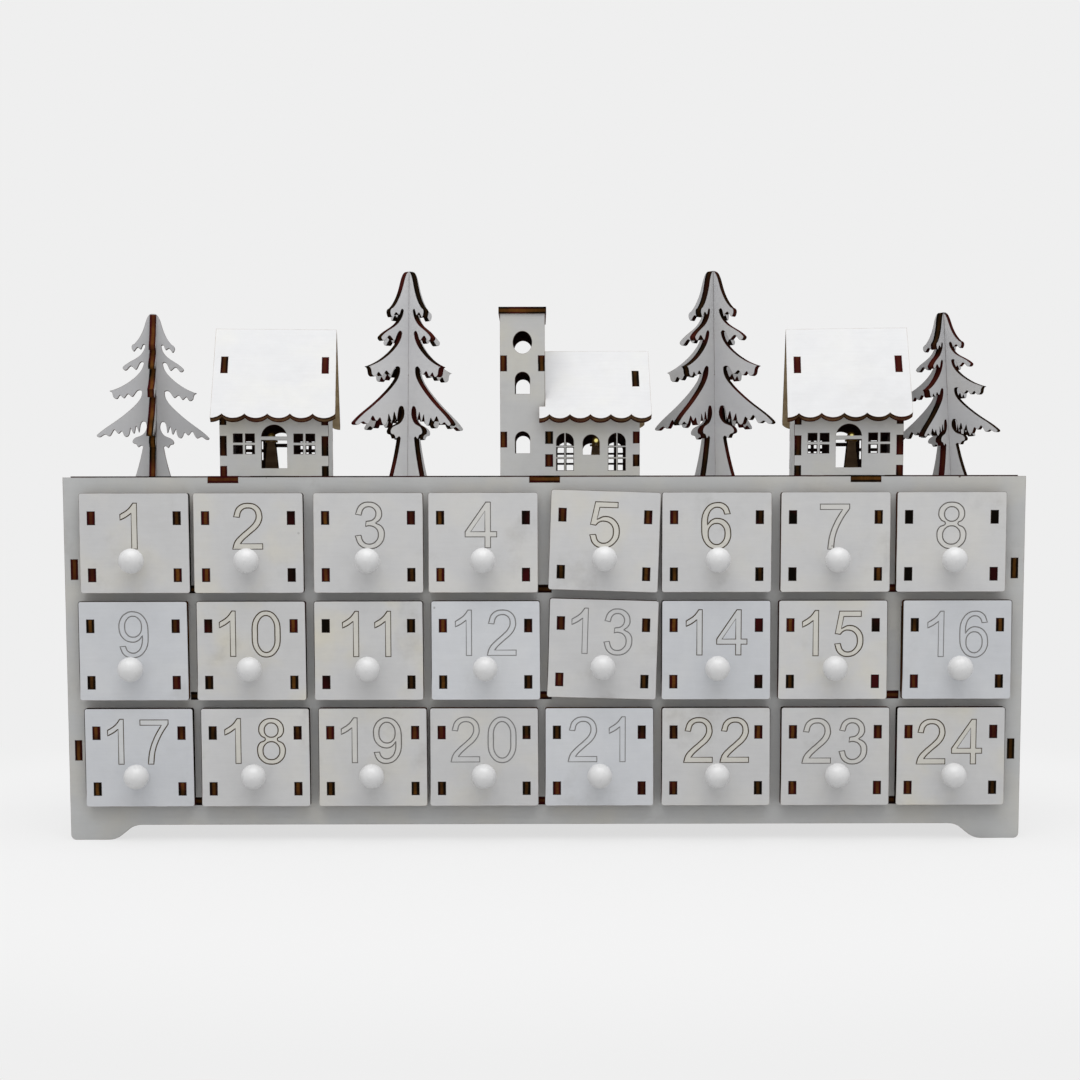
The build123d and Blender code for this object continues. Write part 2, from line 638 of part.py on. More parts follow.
def church():
    """Front, rear, tower sides, nave gables, cap and the two nave roofs."""
    half = CHURCH_DEPTH / 2
    apex = NAVE_WALL_H + half * tan(radians(NAVE_PITCH))
    length = slope_length(CHURCH_DEPTH, NAVE_EAVE, NAVE_PITCH)
    tab = roof_tab_ends(length)
    front = facing_board(church_wall(0, 0, 0), -half)
    rear = facing_board(church_wall(REAR_WINDOW_DROP, REAR_WINDOW_LESS, REAR_WINDOW_SHIFT), half - SHEET)
    tower_sides = [side_board(tower_wall(TOWER_TAB_SHARES), 0),
                   side_board(tower_wall(TOWER_TAB_SHARES[1:]), TOWER_W - SHEET)]
    gables = [side_board(gable(CHURCH_DEPTH, NAVE_WALL_H, NAVE_PITCH, nave_fingers()), NAVE_LEFT),
              side_board(gable(CHURCH_DEPTH, NAVE_WALL_H, NAVE_PITCH, nave_fingers(), tab), NAVE_RIGHT)]
    cap = level_board(rect(-CAP_LAP, TOWER_W + CAP_LAP, -half - CAP_LAP, half + CAP_LAP), TOWER_H)
    lap = SHEET * sin(radians(2 * NAVE_PITCH))
    front_roof = extrude(roof_plane(apex, NAVE_PITCH, -1) * nave_roof(lap, length, tab, False), SHEET)
    rear_roof = extrude(roof_plane(apex, NAVE_PITCH, 1) * nave_roof(0, length, tab, True), SHEET)
    return front, rear, tower_sides, gables, cap, front_roof, rear_roof


# Firs, drawn about their stem with the lid board's top at z = 0

def fir_outline(height):
    """Both sides of a fir board from one half outline of smooth boughs and dripping lower edges."""
    stretches = [FIR_TOP_SHARES] + [stretch for tier in FIR_TIERS_SHARES for stretch in tier]
    right = [Spline(*[(x * height, z * height) for x, z in stretch]) for stretch in stretches]
    left = [Spline(*[(-x * height, z * height) for x, z in stretch]) for stretch in stretches]
    foot = FIR_TIERS_SHARES[-1][-1][-1][0] * height
    return make_face(right + left + [Line((-foot, 0), (foot, 0))])


def fir(height, turn, lean):
    """Two boards halved into each other: the first is cut from below, the second from above and has the tenon.

    A leaning fir pivots in the thickness of the lid board and rests on the lower corner of its foot.
    """
    shape = fir_outline(height)
    gap = across(0, SHEET + 2 * FIT)
    cut_below = shape - rect(*gap, -OVERRUN, height / 2 + FIT)
    cut_above = shape - rect(*gap, height / 2 - FIT, height + OVERRUN) + rect(*across(0, FIR_TENON_W), -SHEET, 0)
    first = facing_board(cut_below, -SHEET / 2)
    second = Rot(0, 0, 90) * facing_board(cut_above, -SHEET / 2)
    foot = FIR_TIERS_SHARES[-1][-1][-1][0] * height
    pivot = Pos(0, 0, foot * sin(radians(abs(lean))) - SHEET / 2)
    place = pivot * Rot(0, lean, 0) * Pos(0, 0, SHEET / 2) * Rot(0, 0, turn)
    return [place * first, place * second]


# The lid board and the village on it

def on_lid(x, turn=0):
    """The place of a village piece on the lid board."""
    return Pos(x, Y_VILLAGE, LID_TOP) * Rot(0, 0, turn)


FIRS = {
    "left_small_fir": (LEFT_SMALL_FIR_SHARE * SIDE_OUT, SMALL_FIR_H, LEFT_SMALL_FIR_TURN, LEFT_SMALL_FIR_LEAN),
    "left_big_fir": (LEFT_BIG_FIR_SHARE * SIDE_OUT, BIG_FIR_H, LEFT_BIG_FIR_TURN, LEFT_BIG_FIR_LEAN),
    "right_big_fir": (RIGHT_BIG_FIR_SHARE * SIDE_OUT, BIG_FIR_H, RIGHT_BIG_FIR_TURN, RIGHT_BIG_FIR_LEAN),
    "right_small_fir": (RIGHT_SMALL_FIR_SHARE * SIDE_OUT, SMALL_FIR_H, RIGHT_SMALL_FIR_TURN, RIGHT_SMALL_FIR_LEAN),
}
COTTAGES = {
    "left_cottage": (LEFT_COTTAGE_SHARE * SIDE_OUT, LEFT_COTTAGE_TURN),
    "right_cottage": (RIGHT_COTTAGE_SHARE * SIDE_OUT, RIGHT_COTTAGE_TURN),
}
CHURCH_X = CHURCH_SHARE * SIDE_OUT
POSTS = [
    (COTTAGES["left_cottage"][0] - COTTAGE_POST_X, COTTAGE_POST_H),
    (CHURCH_X + CHURCH_POST_SHARE * CHURCH_W, CHURCH_POST_H),
    (COTTAGES["right_cottage"][0] + COTTAGE_POST_X, COTTAGE_POST_H),
]
LEAD_Y = Y_VILLAGE + SHEET / 2 + LEAD_D / 2 + FIT


def lid_board():
    """The lid: tabs into front and back, and a slot for every tenon that stands in it."""
    shape = rect(-SIDE_OUT, SIDE_OUT, Y_INSIDE, Y_BACK_INSIDE)
    shape += [rect(*across(x, LID_TAB_W), Y_FRAME, Y_BACK) for x in LID_TABS]
    cuts = []
    for x, height, turn, lean in FIRS.values():
        cuts.append(Pos(x, Y_VILLAGE) * Rot(0, 0, turn) * slot(*across(0, SHEET), *across(0, FIR_TENON_W)))
    for x, turn in COTTAGES.values():
        cuts += [Pos(x, Y_VILLAGE) * Rot(0, 0, turn) * cut for cut in wall_slots(COTTAGE_TABS, COTTAGE_DEPTH)]
    cuts += [Pos(CHURCH_X, Y_VILLAGE) * cut for cut in wall_slots(CHURCH_TABS, CHURCH_DEPTH)]
    for x, height in POSTS:
        cuts.append(slot(*across(x, POST_TENON_W), *across(Y_VILLAGE, SHEET)))
        cuts.append(Pos(x, LEAD_Y) * Circle(LEAD_D / 2 + LEAD_ROOM))
    return level_board(shape - cuts, LID_BOTTOM)


# Lighting

def lamp_post(height):
    """A tapered slip of raw board with a tenon in the lid."""
    sides = [(-POST_BASE_W / 2, 0), (POST_BASE_W / 2, 0), (POST_TOP_W / 2, height), (-POST_TOP_W / 2, height)]
    shape = make_face(Polyline(*sides, close=True)) + rect(*across(0, POST_TENON_W), -SHEET, 0)
    return facing_board(shape, -SHEET / 2)


def lamp():
    """A small round-nosed lamp on its flange."""
    flange = extrude(Circle(LAMP_FLANGE_D / 2), LAMP_FLANGE_T)
    stem = extrude(Circle(LAMP_D / 2), LAMP_FLANGE_T + LAMP_STEM)
    return flange + stem + Pos(0, 0, LAMP_FLANGE_T + LAMP_STEM) * Sphere(LAMP_D / 2)


def tube(*points):
    """A lead along straight runs joined by bends."""
    path = FilletPolyline(*points, radius=LEAD_BEND) if len(points) > 2 else Line(*points)
    return sweep((path ^ 0) * Circle(LEAD_D / 2), path=path)


def lamp_leads():
    """Down behind each post, under the lid to the rear bay, along it and down to the battery box, then the switch."""
    under_lid = LID_BOTTOM - LEAD_D / 2 - LEAD_BEND
    box_top = BATTERY_Z + BATTERY_H / 2
    y_far = Y_BACK_INSIDE - BATTERY_FLANGE_T - BATTERY_DEPTH / 2
    ends = [(-LEAD_PITCH, y_far), (0, y_far), (LEAD_PITCH, y_far + LEAD_PITCH)]
    leads = []
    for (x, height), (x_end, y) in zip(POSTS, ends):
        leads.append(tube((x, LEAD_Y, LID_TOP + height), (x, LEAD_Y, under_lid), (x, y, under_lid),
                          (x_end, y, under_lid), (x_end, y, box_top)))
    y_switch = Y_BACK_INSIDE - SWITCH_DEPTH / 2
    leads.append(tube((BATTERY_W / 2, y_switch, BATTERY_Z), (SWITCH_X - SWITCH_W / 2, y_switch, BATTERY_Z)))
    return leads


CAVITY_W = CELL_L + CELL_NIB_L + 2 * CONTACT_T + CELL_ROOM
CAVITY_H = 2 * CELL_D + 3 * CELL_ROOM
BATTERY_W = CAVITY_W + 2 * BATTERY_WALL
BATTERY_H = CAVITY_H + 2 * BATTERY_WALL
COVER_W = CAVITY_W + 2 * COVER_LEDGE
COVER_H = CAVITY_H + 2 * COVER_LEDGE
CELL_ROWS = [BATTERY_Z + way * (CELL_D + CELL_ROOM) / 2 for way in (-1, 1)]
Y_CELLS = Y_BACK_INSIDE - CELL_ROOM / 2 - CELL_D / 2


def battery_box():
    """A moulded tray for two cells, open to the rear, with a flange against the back panel's inside."""
    y_floor = Y_BACK_INSIDE - BATTERY_DEPTH
    body = facing_board(rect(*across(0, BATTERY_W), *across(BATTERY_Z, BATTERY_H)), y_floor, BATTERY_DEPTH)
    flange = rect(*across(0, BATTERY_W + 2 * BATTERY_FLANGE), *across(BATTERY_Z, BATTERY_H + 2 * BATTERY_FLANGE))
    body += facing_board(flange, Y_BACK_INSIDE - BATTERY_FLANGE_T, BATTERY_FLANGE_T)
    cavity = rect(*across(0, CAVITY_W), *across(BATTERY_Z, CAVITY_H))
    return body - facing_board(cavity, y_floor + BATTERY_WALL, BATTERY_DEPTH)


def battery_cells():
    """Two round cells, laid opposite ways."""
    cells = []
    for way, z in zip((-1, 1), CELL_ROWS):
        start = way * (CELL_L + CELL_NIB_L) / 2
        plane = Plane(origin=(start, Y_CELLS, z), x_dir=(0, 1, 0), z_dir=(-way, 0, 0))
        cell = extrude(plane * Circle(CELL_D / 2), CELL_L)
        cells.append(cell + extrude(plane * Circle(CELL_NIB_D / 2), CELL_L + CELL_NIB_L))
    return cells


def battery_contacts():
    """A contact plate at each end of each cell, against the tray's end walls."""
    plates = []
    for x in (-CAVITY_W / 2, CAVITY_W / 2 - CONTACT_T):
        for z in CELL_ROWS:
            plate = rect(*across(Y_CELLS, CONTACT_W), *across(z, CONTACT_W))
            plane = Plane(origin=(x, 0, 0), x_dir=(0, 1, 0), z_dir=(1, 0, 0))
            plates.append(extrude(plane * plate, CONTACT_T))
    return plates


def battery_cover():
    """The lift-out cover, flush with the back panel, with a finger groove near its top edge."""
    cover = facing_board(rect(*across(0, COVER_W), *across(BATTERY_Z, COVER_H)), Y_BACK_INSIDE)
    grip_top = BATTERY_Z + COVER_H / 2 - COVER_GRIP_DROP
    grip = rect(*across(0, COVER_GRIP_W), grip_top - COVER_GRIP_H, grip_top)
    return cover - facing_board(grip, Y_BACK - COVER_GRIP_DEPTH, COVER_GRIP_DEPTH + OVERRUN)


def switch_body():
    """The switch's case behind the back panel, with the pocket that the slider runs in."""
    y_floor = Y_BACK_INSIDE - SWITCH_DEPTH
    case = facing_board(rect(*across(SWITCH_X, SWITCH_W), *across(BATTERY_Z, SWITCH_H)), y_floor, SWITCH_DEPTH)
    run = SLIDER_BASE_W + SLIDER_TRAVEL + 2 * SLIDER_PLAY
    pocket = rect(*across(SWITCH_X, run), *across(BATTERY_Z, SLIDER_BASE_H + 2 * SLIDER_PLAY))
    return case - facing_board(pocket, Y_BACK_INSIDE - SWITCH_POCKET, SWITCH_POCKET + OVERRUN)


def switch_slider():
    """The slider at its off end: a base in the pocket and a stem flush with the back panel."""
    middle = SWITCH_X - SLIDER_TRAVEL / 2
    base = rect(*across(middle, SLIDER_BASE_W), *across(BATTERY_Z, SLIDER_BASE_H))
    stem = rect(*across(middle, SLIDER_STEM_W), *across(BATTERY_Z, SLIDER_STEM_H))
    base_y = Y_BACK_INSIDE - SWITCH_POCKET + SLIDER_PLAY
    body = facing_board(base, base_y, SWITCH_POCKET - 2 * SLIDER_PLAY)
    return body + facing_board(stem, base_y, Y_BACK - base_y)


# Every node

os.makedirs("parts", exist_ok=True)

save("front_frame", front_frame())
save("back_panel", back_panel())
save("lid_board", lid_board())
save("bottom_board", bottom_board())
save("shelves", *[shelf(row) for row in range(1, ROWS)])
save("left_side_panel", side_panel(-1))
save("right_side_panel", side_panel(1))
save("column_dividers", *[divider(x) for x in COLUMN_LINES])

pieces = drawer_solids()
for number in range(1, COLUMNS * ROWS + 1):
    save(f"drawer_{number:02d}", *[drawer_place(number) * piece for piece in pieces])

walls, gables, front_roof, rear_roof = cottage()
for name, (x, turn) in COTTAGES.items():
    save(f"{name}_walls", *[on_lid(x, turn) * wall for wall in walls])
    save(f"{name}_gables", *[on_lid(x, turn) * wall for wall in gables])
    save(f"{name}_front_roof", on_lid(x, turn) * front_roof)
    save(f"{name}_rear_roof", on_lid(x, turn) * rear_roof)

front, rear, tower_sides, nave_gables, cap, nave_front, nave_rear = church()
save("church_front_wall", on_lid(CHURCH_X) * front)
save("church_rear_wall", on_lid(CHURCH_X) * rear)
save("tower_side_walls", *[on_lid(CHURCH_X) * wall for wall in tower_sides])
save("nave_gables", *[on_lid(CHURCH_X) * wall for wall in nave_gables])
save("tower_cap", on_lid(CHURCH_X) * cap)
save("nave_front_roof", on_lid(CHURCH_X) * nave_front)
save("nave_rear_roof", on_lid(CHURCH_X) * nave_rear)

for name, (x, height, turn, lean) in FIRS.items():
    save(name, *[on_lid(x) * board for board in fir(height, turn, lean)])

save("lamp_posts", *[on_lid(x) * lamp_post(height) for x, height in POSTS])
save("lamps", *[on_lid(x) * Pos(0, 0, height) * lamp() for x, height in POSTS])
save("lamp_leads", *lamp_leads())
save("battery_box", battery_box())
save("battery_cover", battery_cover())
save("battery_cells", *battery_cells())
save("battery_contacts", *battery_contacts())
save("switch_body", switch_body())
save("switch_slider", switch_slider())
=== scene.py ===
"""Looks of the wooden advent calendar: painted thin board, scorched edges, numbered drawers and a lit village."""
import random
from math import atan2, cos, pi, radians, sin

import bmesh
import bpy
from mathutils import Matrix, Vector


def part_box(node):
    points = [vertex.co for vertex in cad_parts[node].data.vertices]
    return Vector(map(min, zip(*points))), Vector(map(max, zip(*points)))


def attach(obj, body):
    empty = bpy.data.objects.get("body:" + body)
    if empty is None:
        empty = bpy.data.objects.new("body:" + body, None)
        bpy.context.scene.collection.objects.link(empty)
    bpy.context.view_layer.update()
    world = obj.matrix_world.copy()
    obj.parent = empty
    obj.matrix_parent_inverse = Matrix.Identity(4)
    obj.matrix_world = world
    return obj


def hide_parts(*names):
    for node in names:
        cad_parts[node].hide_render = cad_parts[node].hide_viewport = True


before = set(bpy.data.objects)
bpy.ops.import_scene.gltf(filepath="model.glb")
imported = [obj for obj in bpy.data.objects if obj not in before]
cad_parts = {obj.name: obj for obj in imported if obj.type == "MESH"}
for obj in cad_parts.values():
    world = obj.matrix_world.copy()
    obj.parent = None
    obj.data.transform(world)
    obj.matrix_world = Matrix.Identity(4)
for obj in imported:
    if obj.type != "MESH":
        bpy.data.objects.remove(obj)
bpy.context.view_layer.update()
scene = bpy.context.scene
mm = 0.001

# Box boards: the face frame, back, lid board and side panels are cut by laser from thin plywood and sprayed
# white on the outside. The cut edges stay scorched brown, and the tab ends show them in the face frame.
box_middle = (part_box("front_frame")[0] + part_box("back_panel")[1]) / 2
painted_face, raw_face, cut_face, engraved_face = range(4)
flat_share = 0.96
level_share = 0.9
scorch_width = 0.3 * mm
slot_reach = 8.0 * mm
# Rim value round tab slots: charred, partly real scorch and partly painted shade of the gap round each tab
slot_scorch_and_shade = 2.4
top_band = 1.6 * mm
groove_least = 0.004 * mm
groove_most = 0.25 * mm
stroke_area = 400.0 * mm * mm
stroke_slimness = 40
stroke_mark = 2.0
stroke_light = 1.03
least_stroke_burn = 0.3


class Shade:
    """A value in a material's nodes: sums and products of it add Math nodes."""

    def __init__(self, tree, socket):
        self.tree = tree
        self.socket = socket

    def node(self, kind, settings=None, inputs=None, out=0):
        """Any other node: its settings are set first, then the values or links of its sockets."""
        made = self.tree.nodes.new(kind)
        for name, value in (settings or {}).items():
            setattr(made, name, value)
        for key, value in (inputs or {}).items():
            if isinstance(value, Shade):
                self.tree.links.new(value.socket, made.inputs[key])
            else:
                made.inputs[key].default_value = value
        return Shade(self.tree, made.outputs[out])

    def maths(self, operation, first, second=0.0):
        return self.node("ShaderNodeMath", {"operation": operation}, {0: first, 1: second})

    def __add__(self, other):
        return self.maths("ADD", self, other)

    def __sub__(self, other):
        return self.maths("SUBTRACT", self, other)

    def __rsub__(self, other):
        return self.maths("SUBTRACT", other, self)

    def __mul__(self, other):
        return self.maths("MULTIPLY", self, other)

    def __pow__(self, other):
        return self.maths("POWER", self, other)

    def __abs__(self):
        return self.maths("ABSOLUTE", self)

    __radd__ = __add__
    __rmul__ = __mul__

    def split(self):
        """The three parts of a vector."""
        outputs = self.node("ShaderNodeSeparateXYZ", {}, {0: self}).socket.node.outputs
        return [Shade(self.tree, socket) for socket in outputs]

    def ease(self, low, high):
        """0 below low, 1 above high, eased between."""
        limits = {"Value": self, "From Min": low, "From Max": high}
        return self.node("ShaderNodeMapRange", {"interpolation_type": "SMOOTHSTEP"}, limits)

    def mix(self, first, second):
        """A colour between two, by this value."""
        return self.node("ShaderNodeMix", {"data_type": "RGBA"}, {0: self, 6: first, 7: second}, out=2)

    def scaled(self, factor):
        """This colour or vector times a value."""
        return self.node("ShaderNodeVectorMath", {"operation": "SCALE"}, {0: self, "Scale": factor})

    def stretched(self, *scales):
        """This place with each axis scaled for itself."""
        return self.node("ShaderNodeVectorMath", {"operation": "MULTIPLY"}, {0: self, 1: scales})

    def noise(self, scale, detail=2.0, roughness=0.5):
        """Cloudy noise at this place."""
        inputs = {"Vector": self, "Scale": scale, "Detail": detail, "Roughness": roughness}
        return self.node("ShaderNodeTexNoise", {}, inputs)


def new_material(name):
    """An empty finish: the material, its shader, and the start of its nodes."""
    material = bpy.data.materials.new(name)
    material.use_nodes = True
    shader = material.node_tree.nodes["Principled BSDF"]
    return material, shader, Shade(material.node_tree, shader.outputs[0])


def feed(shader, **links):
    """Link values to the shader's sockets, named with underscores."""
    for name, shade in links.items():
        shade.tree.links.new(shade.socket, shader.inputs[name.replace("_", " ")])


def bump(shader, height, strength, distance):
    """Relief from a height, in metres when it is raised fully."""
    normal = height.node("ShaderNodeBump", {}, {"Height": height, "Strength": strength, "Distance": distance})
    feed(shader, Normal=normal)


def attribute(start, name, out="Vector"):
    """A value that the board meshes carry."""
    return start.node("ShaderNodeAttribute", {"attribute_name": name}, {}, out)


def white_paint(name, colour, cream, grime, scorched=(0.13, 0.065, 0.03, 1.0)):
    """Thin sprayed paint on plywood: the grain shows through, cream where thin, scorched along the cut edges, and
    charred where the rim value passes 1, partly as painted shade.
    """
    material, shader, start = new_material(name)
    smudge_grey = (0.30, 0.285, 0.26, 1.0)
    speck_brown = (0.12, 0.10, 0.085, 1.0)
    char = (0.010, 0.006, 0.005, 1.0)
    relief = 0.12 * mm
    place = attribute(start, "sheet")
    warmth, light = attribute(start, "tone").split()[:2]
    rim = attribute(start, "rim", "Fac")
    clouds = place.noise(38.0, 3.0, 0.55)
    grain = place.stretched(70.0, 900.0, 1.0).noise(1.0, 3.0, 0.6)
    stroke = warmth.ease(stroke_mark - 0.1, stroke_mark)
    thin = clouds.ease(0.42, 0.72) * warmth * (1.0 - stroke) + stroke * (warmth - stroke_mark) * 0.6
    base = thin.mix(colour, cream)
    dust = place.noise(210.0, 4.0, 0.65)
    level = light + (clouds - 0.5) * 0.16 + (grain - 0.5) * 0.07 + (dust - 0.5) * 0.10
    cells = place.node("ShaderNodeTexVoronoi", {}, {"Vector": place, "Scale": 95.0})
    rare = place.noise(60.0, 1.0).ease(0.60, 0.66)
    speck = (1.0 - cells.ease(0.03, 0.06)) * rare * grime
    smudge = place.noise(27.0, 5.0, 0.7).ease(0.56, 0.74) * grime * 0.28
    scorch = rim.ease(0.25, 1.0) * (0.25 + place.noise(160.0, 2.0).ease(0.30, 0.75) * 0.6)
    # Char along cut edges: real scorch at a rim of 1, and painted shade round slots and along lower fronts' tops,
    # where the rim is above 1
    char_and_shade = (rim - 1.0).ease(-0.35, 0.35)
    worn = smudge.mix(base.scaled(level), smudge_grey)
    brown = scorch.mix(speck.mix(worn, speck_brown), scorched)
    feed(shader, Base_Color=char_and_shade.mix(brown, char))
    feed(shader, Roughness=0.62 + (dust - 0.5) * 0.25)
    shader.inputs["Specular IOR Level"].default_value = 0.25
    bump(shader, grain * 0.6 + dust * 0.4, 0.25, relief)
    return material


def raw_board(name, pale, dark):
    """Bare poplar plywood: long soft grain with darker pores, a little smoked from the cutting."""
    material, shader, start = new_material(name)
    smoke_brown = (0.07, 0.035, 0.018, 1.0)
    relief = 0.10 * mm
    place = attribute(start, "sheet")
    light = attribute(start, "tone").split()[1]
    rim = attribute(start, "rim", "Fac")
    waves = place.stretched(14.0, 210.0, 1.0).noise(1.0, 4.0, 0.6)
    pores = place.stretched(120.0, 2600.0, 1.0).noise(1.0, 2.0, 0.6)
    base = waves.ease(0.30, 0.72).mix(pale, dark)
    level = 0.9 + light * 0.1 - pores.ease(0.60, 0.75) * 0.22
    smoke = rim.ease(0.1, 1.0) * place.noise(130.0, 2.0).ease(0.25, 0.7) * 0.8
    feed(shader, Base_Color=smoke.mix(base.scaled(level), smoke_brown))
    feed(shader, Roughness=0.68 + (waves - 0.5) * 0.2)
    bump(shader, pores + waves, 0.3, relief)
    return material


def scorched_edge(name, char, ochre, red):
    """The laser's cut: plies of which one is ochre, the others charred, in streaks from face to face."""
    material, shader, start = new_material(name)
    relief = 0.10 * mm
    place = attribute(start, "sheet")
    through = place.split()[2]
    warmth, burn = attribute(start, "tone").split()[::2]
    off_middle = through * (1.0 / mm) + (warmth - 0.5) * 0.8 + (place.noise(300.0, 1.0) - 0.5) * 0.5
    ply = 1.0 - abs(off_middle).ease(0.30, 0.95)
    patches = place.noise(70.0, 2.0).ease(0.35, 0.65)
    streaks = place.stretched(1500.0, 1500.0, 90.0).noise(1.0, 2.0)
    brown = ply * (0.35 + patches * 0.65) * (0.5 + streaks * 0.8) * (1.0 - burn)
    dark = place.noise(45.0, 1.0).ease(0.45, 0.60).mix(char, red)
    feed(shader, Base_Color=brown.mix(dark, ochre))
    feed(shader, Roughness=0.95 - streaks * 0.1)
    shader.inputs["Specular IOR Level"].default_value = 0.0
    bump(shader, streaks + ply * 0.5, 0.4, relief)
    return material


def boards_in(mesh):
    """The separate boards of a node, each as a welded bmesh of its own."""
    whole = bmesh.new()
    whole.from_mesh(mesh)
    bmesh.ops.remove_doubles(whole, verts=whole.verts, dist=1e-6)
    whole.faces.index_update()
    waiting = set(whole.faces)
    boards = []
    while waiting:
        edge_of_group = [waiting.pop()]
        group = set(edge_of_group)
        while edge_of_group:
            face = edge_of_group.pop()
            near = {other for edge in face.edges if len(edge.link_faces) == 2 for other in edge.link_faces}
            fresh = near - group
            group |= fresh
            edge_of_group += fresh
        waiting -= group
        board = whole.copy()
        kept = {face.index for face in group}
        bmesh.ops.delete(board, geom=[f for f in board.faces if f.index not in kept], context="FACES")
        boards.append(board)
    whole.free()
    return sorted(boards, key=lambda board: tuple(round(v, 5) for v in board_box(board)[0]))


def board_box(board):
    """Lowest and highest corner of a bmesh."""
    spots = [vert.co for vert in board.verts]
    return (Vector([min(spot[axis] for spot in spots) for axis in range(3)]),
            Vector([max(spot[axis] for spot in spots) for axis in range(3)]))


def main_normal(board):
    """The direction that a board's two large faces look in."""
    areas = {}
    for face in board.faces:
        normal = face.normal if tuple(face.normal) > (0.0, 0.0, 0.0) else -face.normal
        key = tuple(round(v, 2) + 0.0 for v in normal)
        areas[key] = areas.get(key, Vector()) + normal * face.calc_area()
    return max(areas.values(), key=lambda total: total.length).normalized()


def slot_outlines(board):
    """The corners of small holes in the painted faces, which are the slots that tabs come through."""
    rings = {}
    for edge in board.edges:
        if sorted(face.material_index for face in edge.link_faces) == [painted_face, cut_face]:
            for vert in edge.verts:
                rings.setdefault(vert, []).append(edge.other_vert(vert))
    found = set()
    while rings:
        group, waiting = {}, [next(iter(rings))]
        while waiting:
            vert = waiting.pop()
            group[vert] = vert.co
            waiting += [other for other in rings.pop(vert, []) if other in rings]
        spots = list(group.values())
        if max((spot - spots[0]).length for spot in spots) < slot_reach:
            found.update(group)
    return found


def stroke_corners(board):
    """The corners of the long narrow islands that an engraved outline leaves in a painted face."""
    waiting = {face for face in board.faces if face.material_index == painted_face}
    found = set()
    while waiting:
        fresh = [waiting.pop()]
        island = set(fresh)
        while fresh:
            near = {other for edge in fresh.pop().edges for other in edge.link_faces} & waiting
            waiting -= near
            island |= near
            fresh += near
        area = sum(face.calc_area() for face in island)
        edges = [edge for face in island for edge in face.edges]
        rim = [edge for edge in edges if not all(other in island for other in edge.link_faces)]
        around = sum(edge.calc_length() for edge in rim)
        if area < stroke_area and around * around > stroke_slimness * area:
            found |= {vert for face in island for vert in face.verts}
    return found


def inset_plane(board, faces, grooves, index, normal):
    """A narrow rim inside the outline of a board's flat face, and the middle round its grooves filled anew."""
    bmesh.ops.inset_region(board, faces=faces + grooves, thickness=scorch_width, depth=0.0, use_boundary=True,
                           use_even_offset=True)
    middle = set(faces)
    outline = [edge for edge in board.edges if len([face for face in edge.link_faces if face in middle]) == 1]
    bmesh.ops.delete(board, geom=faces, context="FACES_KEEP_BOUNDARY")
    filled = bmesh.ops.triangle_fill(board, edges=outline, normal=normal, use_beauty=True)["geom"]
    for face in filled:
        if isinstance(face, bmesh.types.BMFace):
            face.normal_update()
            face.material_index = index
            if face.normal.dot(normal) < 0:
                face.normal_flip()


def dress_board(board, seed, tone, inside=None, engraved_y=None, top_scorch_and_shade=1.0):
    """Sort a board's faces into painted, raw, cut and engraved, and give it its sheet, tone and rim values.

    With no inside point both faces are painted. Engraved faces lie just behind engraved_y. The rim along the top
    has the value top_scorch_and_shade: 1 is lightly scorched, more is charred darker, which is painted shade for
    the shadowed gap above a front.
    """
    normal = main_normal(board)
    across = Vector((1, 0, 0)) if abs(normal.z) > level_share else normal.cross(Vector((0, 0, 1))).normalized()
    up = normal.cross(across)
    for face in board.faces:
        face.material_index = cut_face
        if engraved_y is not None and groove_least < face.calc_center_median().y - engraved_y < groove_most:
            face.material_index = engraved_face
    flat = [face for face in board.faces
            if abs(face.normal.dot(normal)) > flat_share and face.material_index == cut_face]
    for face in flat:
        outward = inside is None or (face.calc_center_median() - inside).dot(face.normal) > 0
        face.material_index = painted_face if outward else raw_face
    planes = {}
    for face in flat:
        level = round(face.calc_center_median().dot(normal), 5)
        planes.setdefault((face.material_index, face.normal.dot(normal) > 0, level), []).append(face)
    grooves = [face for face in board.faces if face.material_index == engraved_face]
    for (index, forward, _), faces in planes.items():
        around = grooves if index == painted_face else []
        inset_plane(board, faces, around, index, normal if forward else -normal)
    rng = random.Random(seed)
    shift = Vector((rng.uniform(0, 4), rng.uniform(0, 4), 0))
    low = min(vert.co.dot(normal) for vert in board.verts)
    high = max(vert.co.dot(normal) for vert in board.verts)
    sheet = board.verts.layers.float_vector.new("sheet")
    tones = board.verts.layers.float_vector.new("tone")
    rim = board.verts.layers.float.new("rim")
    slots = slot_outlines(board)
    top = board_box(board)[1].z
    for vert in board.verts:
        depth = vert.co.dot(normal) - (low + high) / 2
        vert[sheet] = shift + Vector((vert.co.dot(across), vert.co.dot(up), depth))
        vert[tones] = tone
        vert[rim] = 0.0
        # Rims above 1, round slots and along fronts' tops, are painted shade as well as scorch
        if vert in slots:
            vert[rim] = slot_scorch_and_shade
        elif cut_face in {face.material_index for face in vert.link_faces}:
            # along the top the rim takes the painted shade value, elsewhere plain scorch
            vert[rim] = top_scorch_and_shade if vert.co.z > top - top_band else 1.0
    light, burn = tone[1:]
    for vert in stroke_corners(board) if grooves and burn > least_stroke_burn else []:
        vert[tones] = (stroke_mark + burn, light * stroke_light, burn)


def joined(name, boards, materials):
    """One object from several bmeshes."""
    whole = bmesh.new()
    for board in boards:
        part = bpy.data.meshes.new("part")
        board.to_mesh(part)
        board.free()
        whole.from_mesh(part)
        bpy.data.meshes.remove(part)
    mesh = bpy.data.meshes.new(name)
    whole.to_mesh(mesh)
    whole.free()
    for material in materials:
        mesh.materials.append(material)
    piece = bpy.data.objects.new(name, mesh)
    scene.collection.objects.link(piece)
    return piece


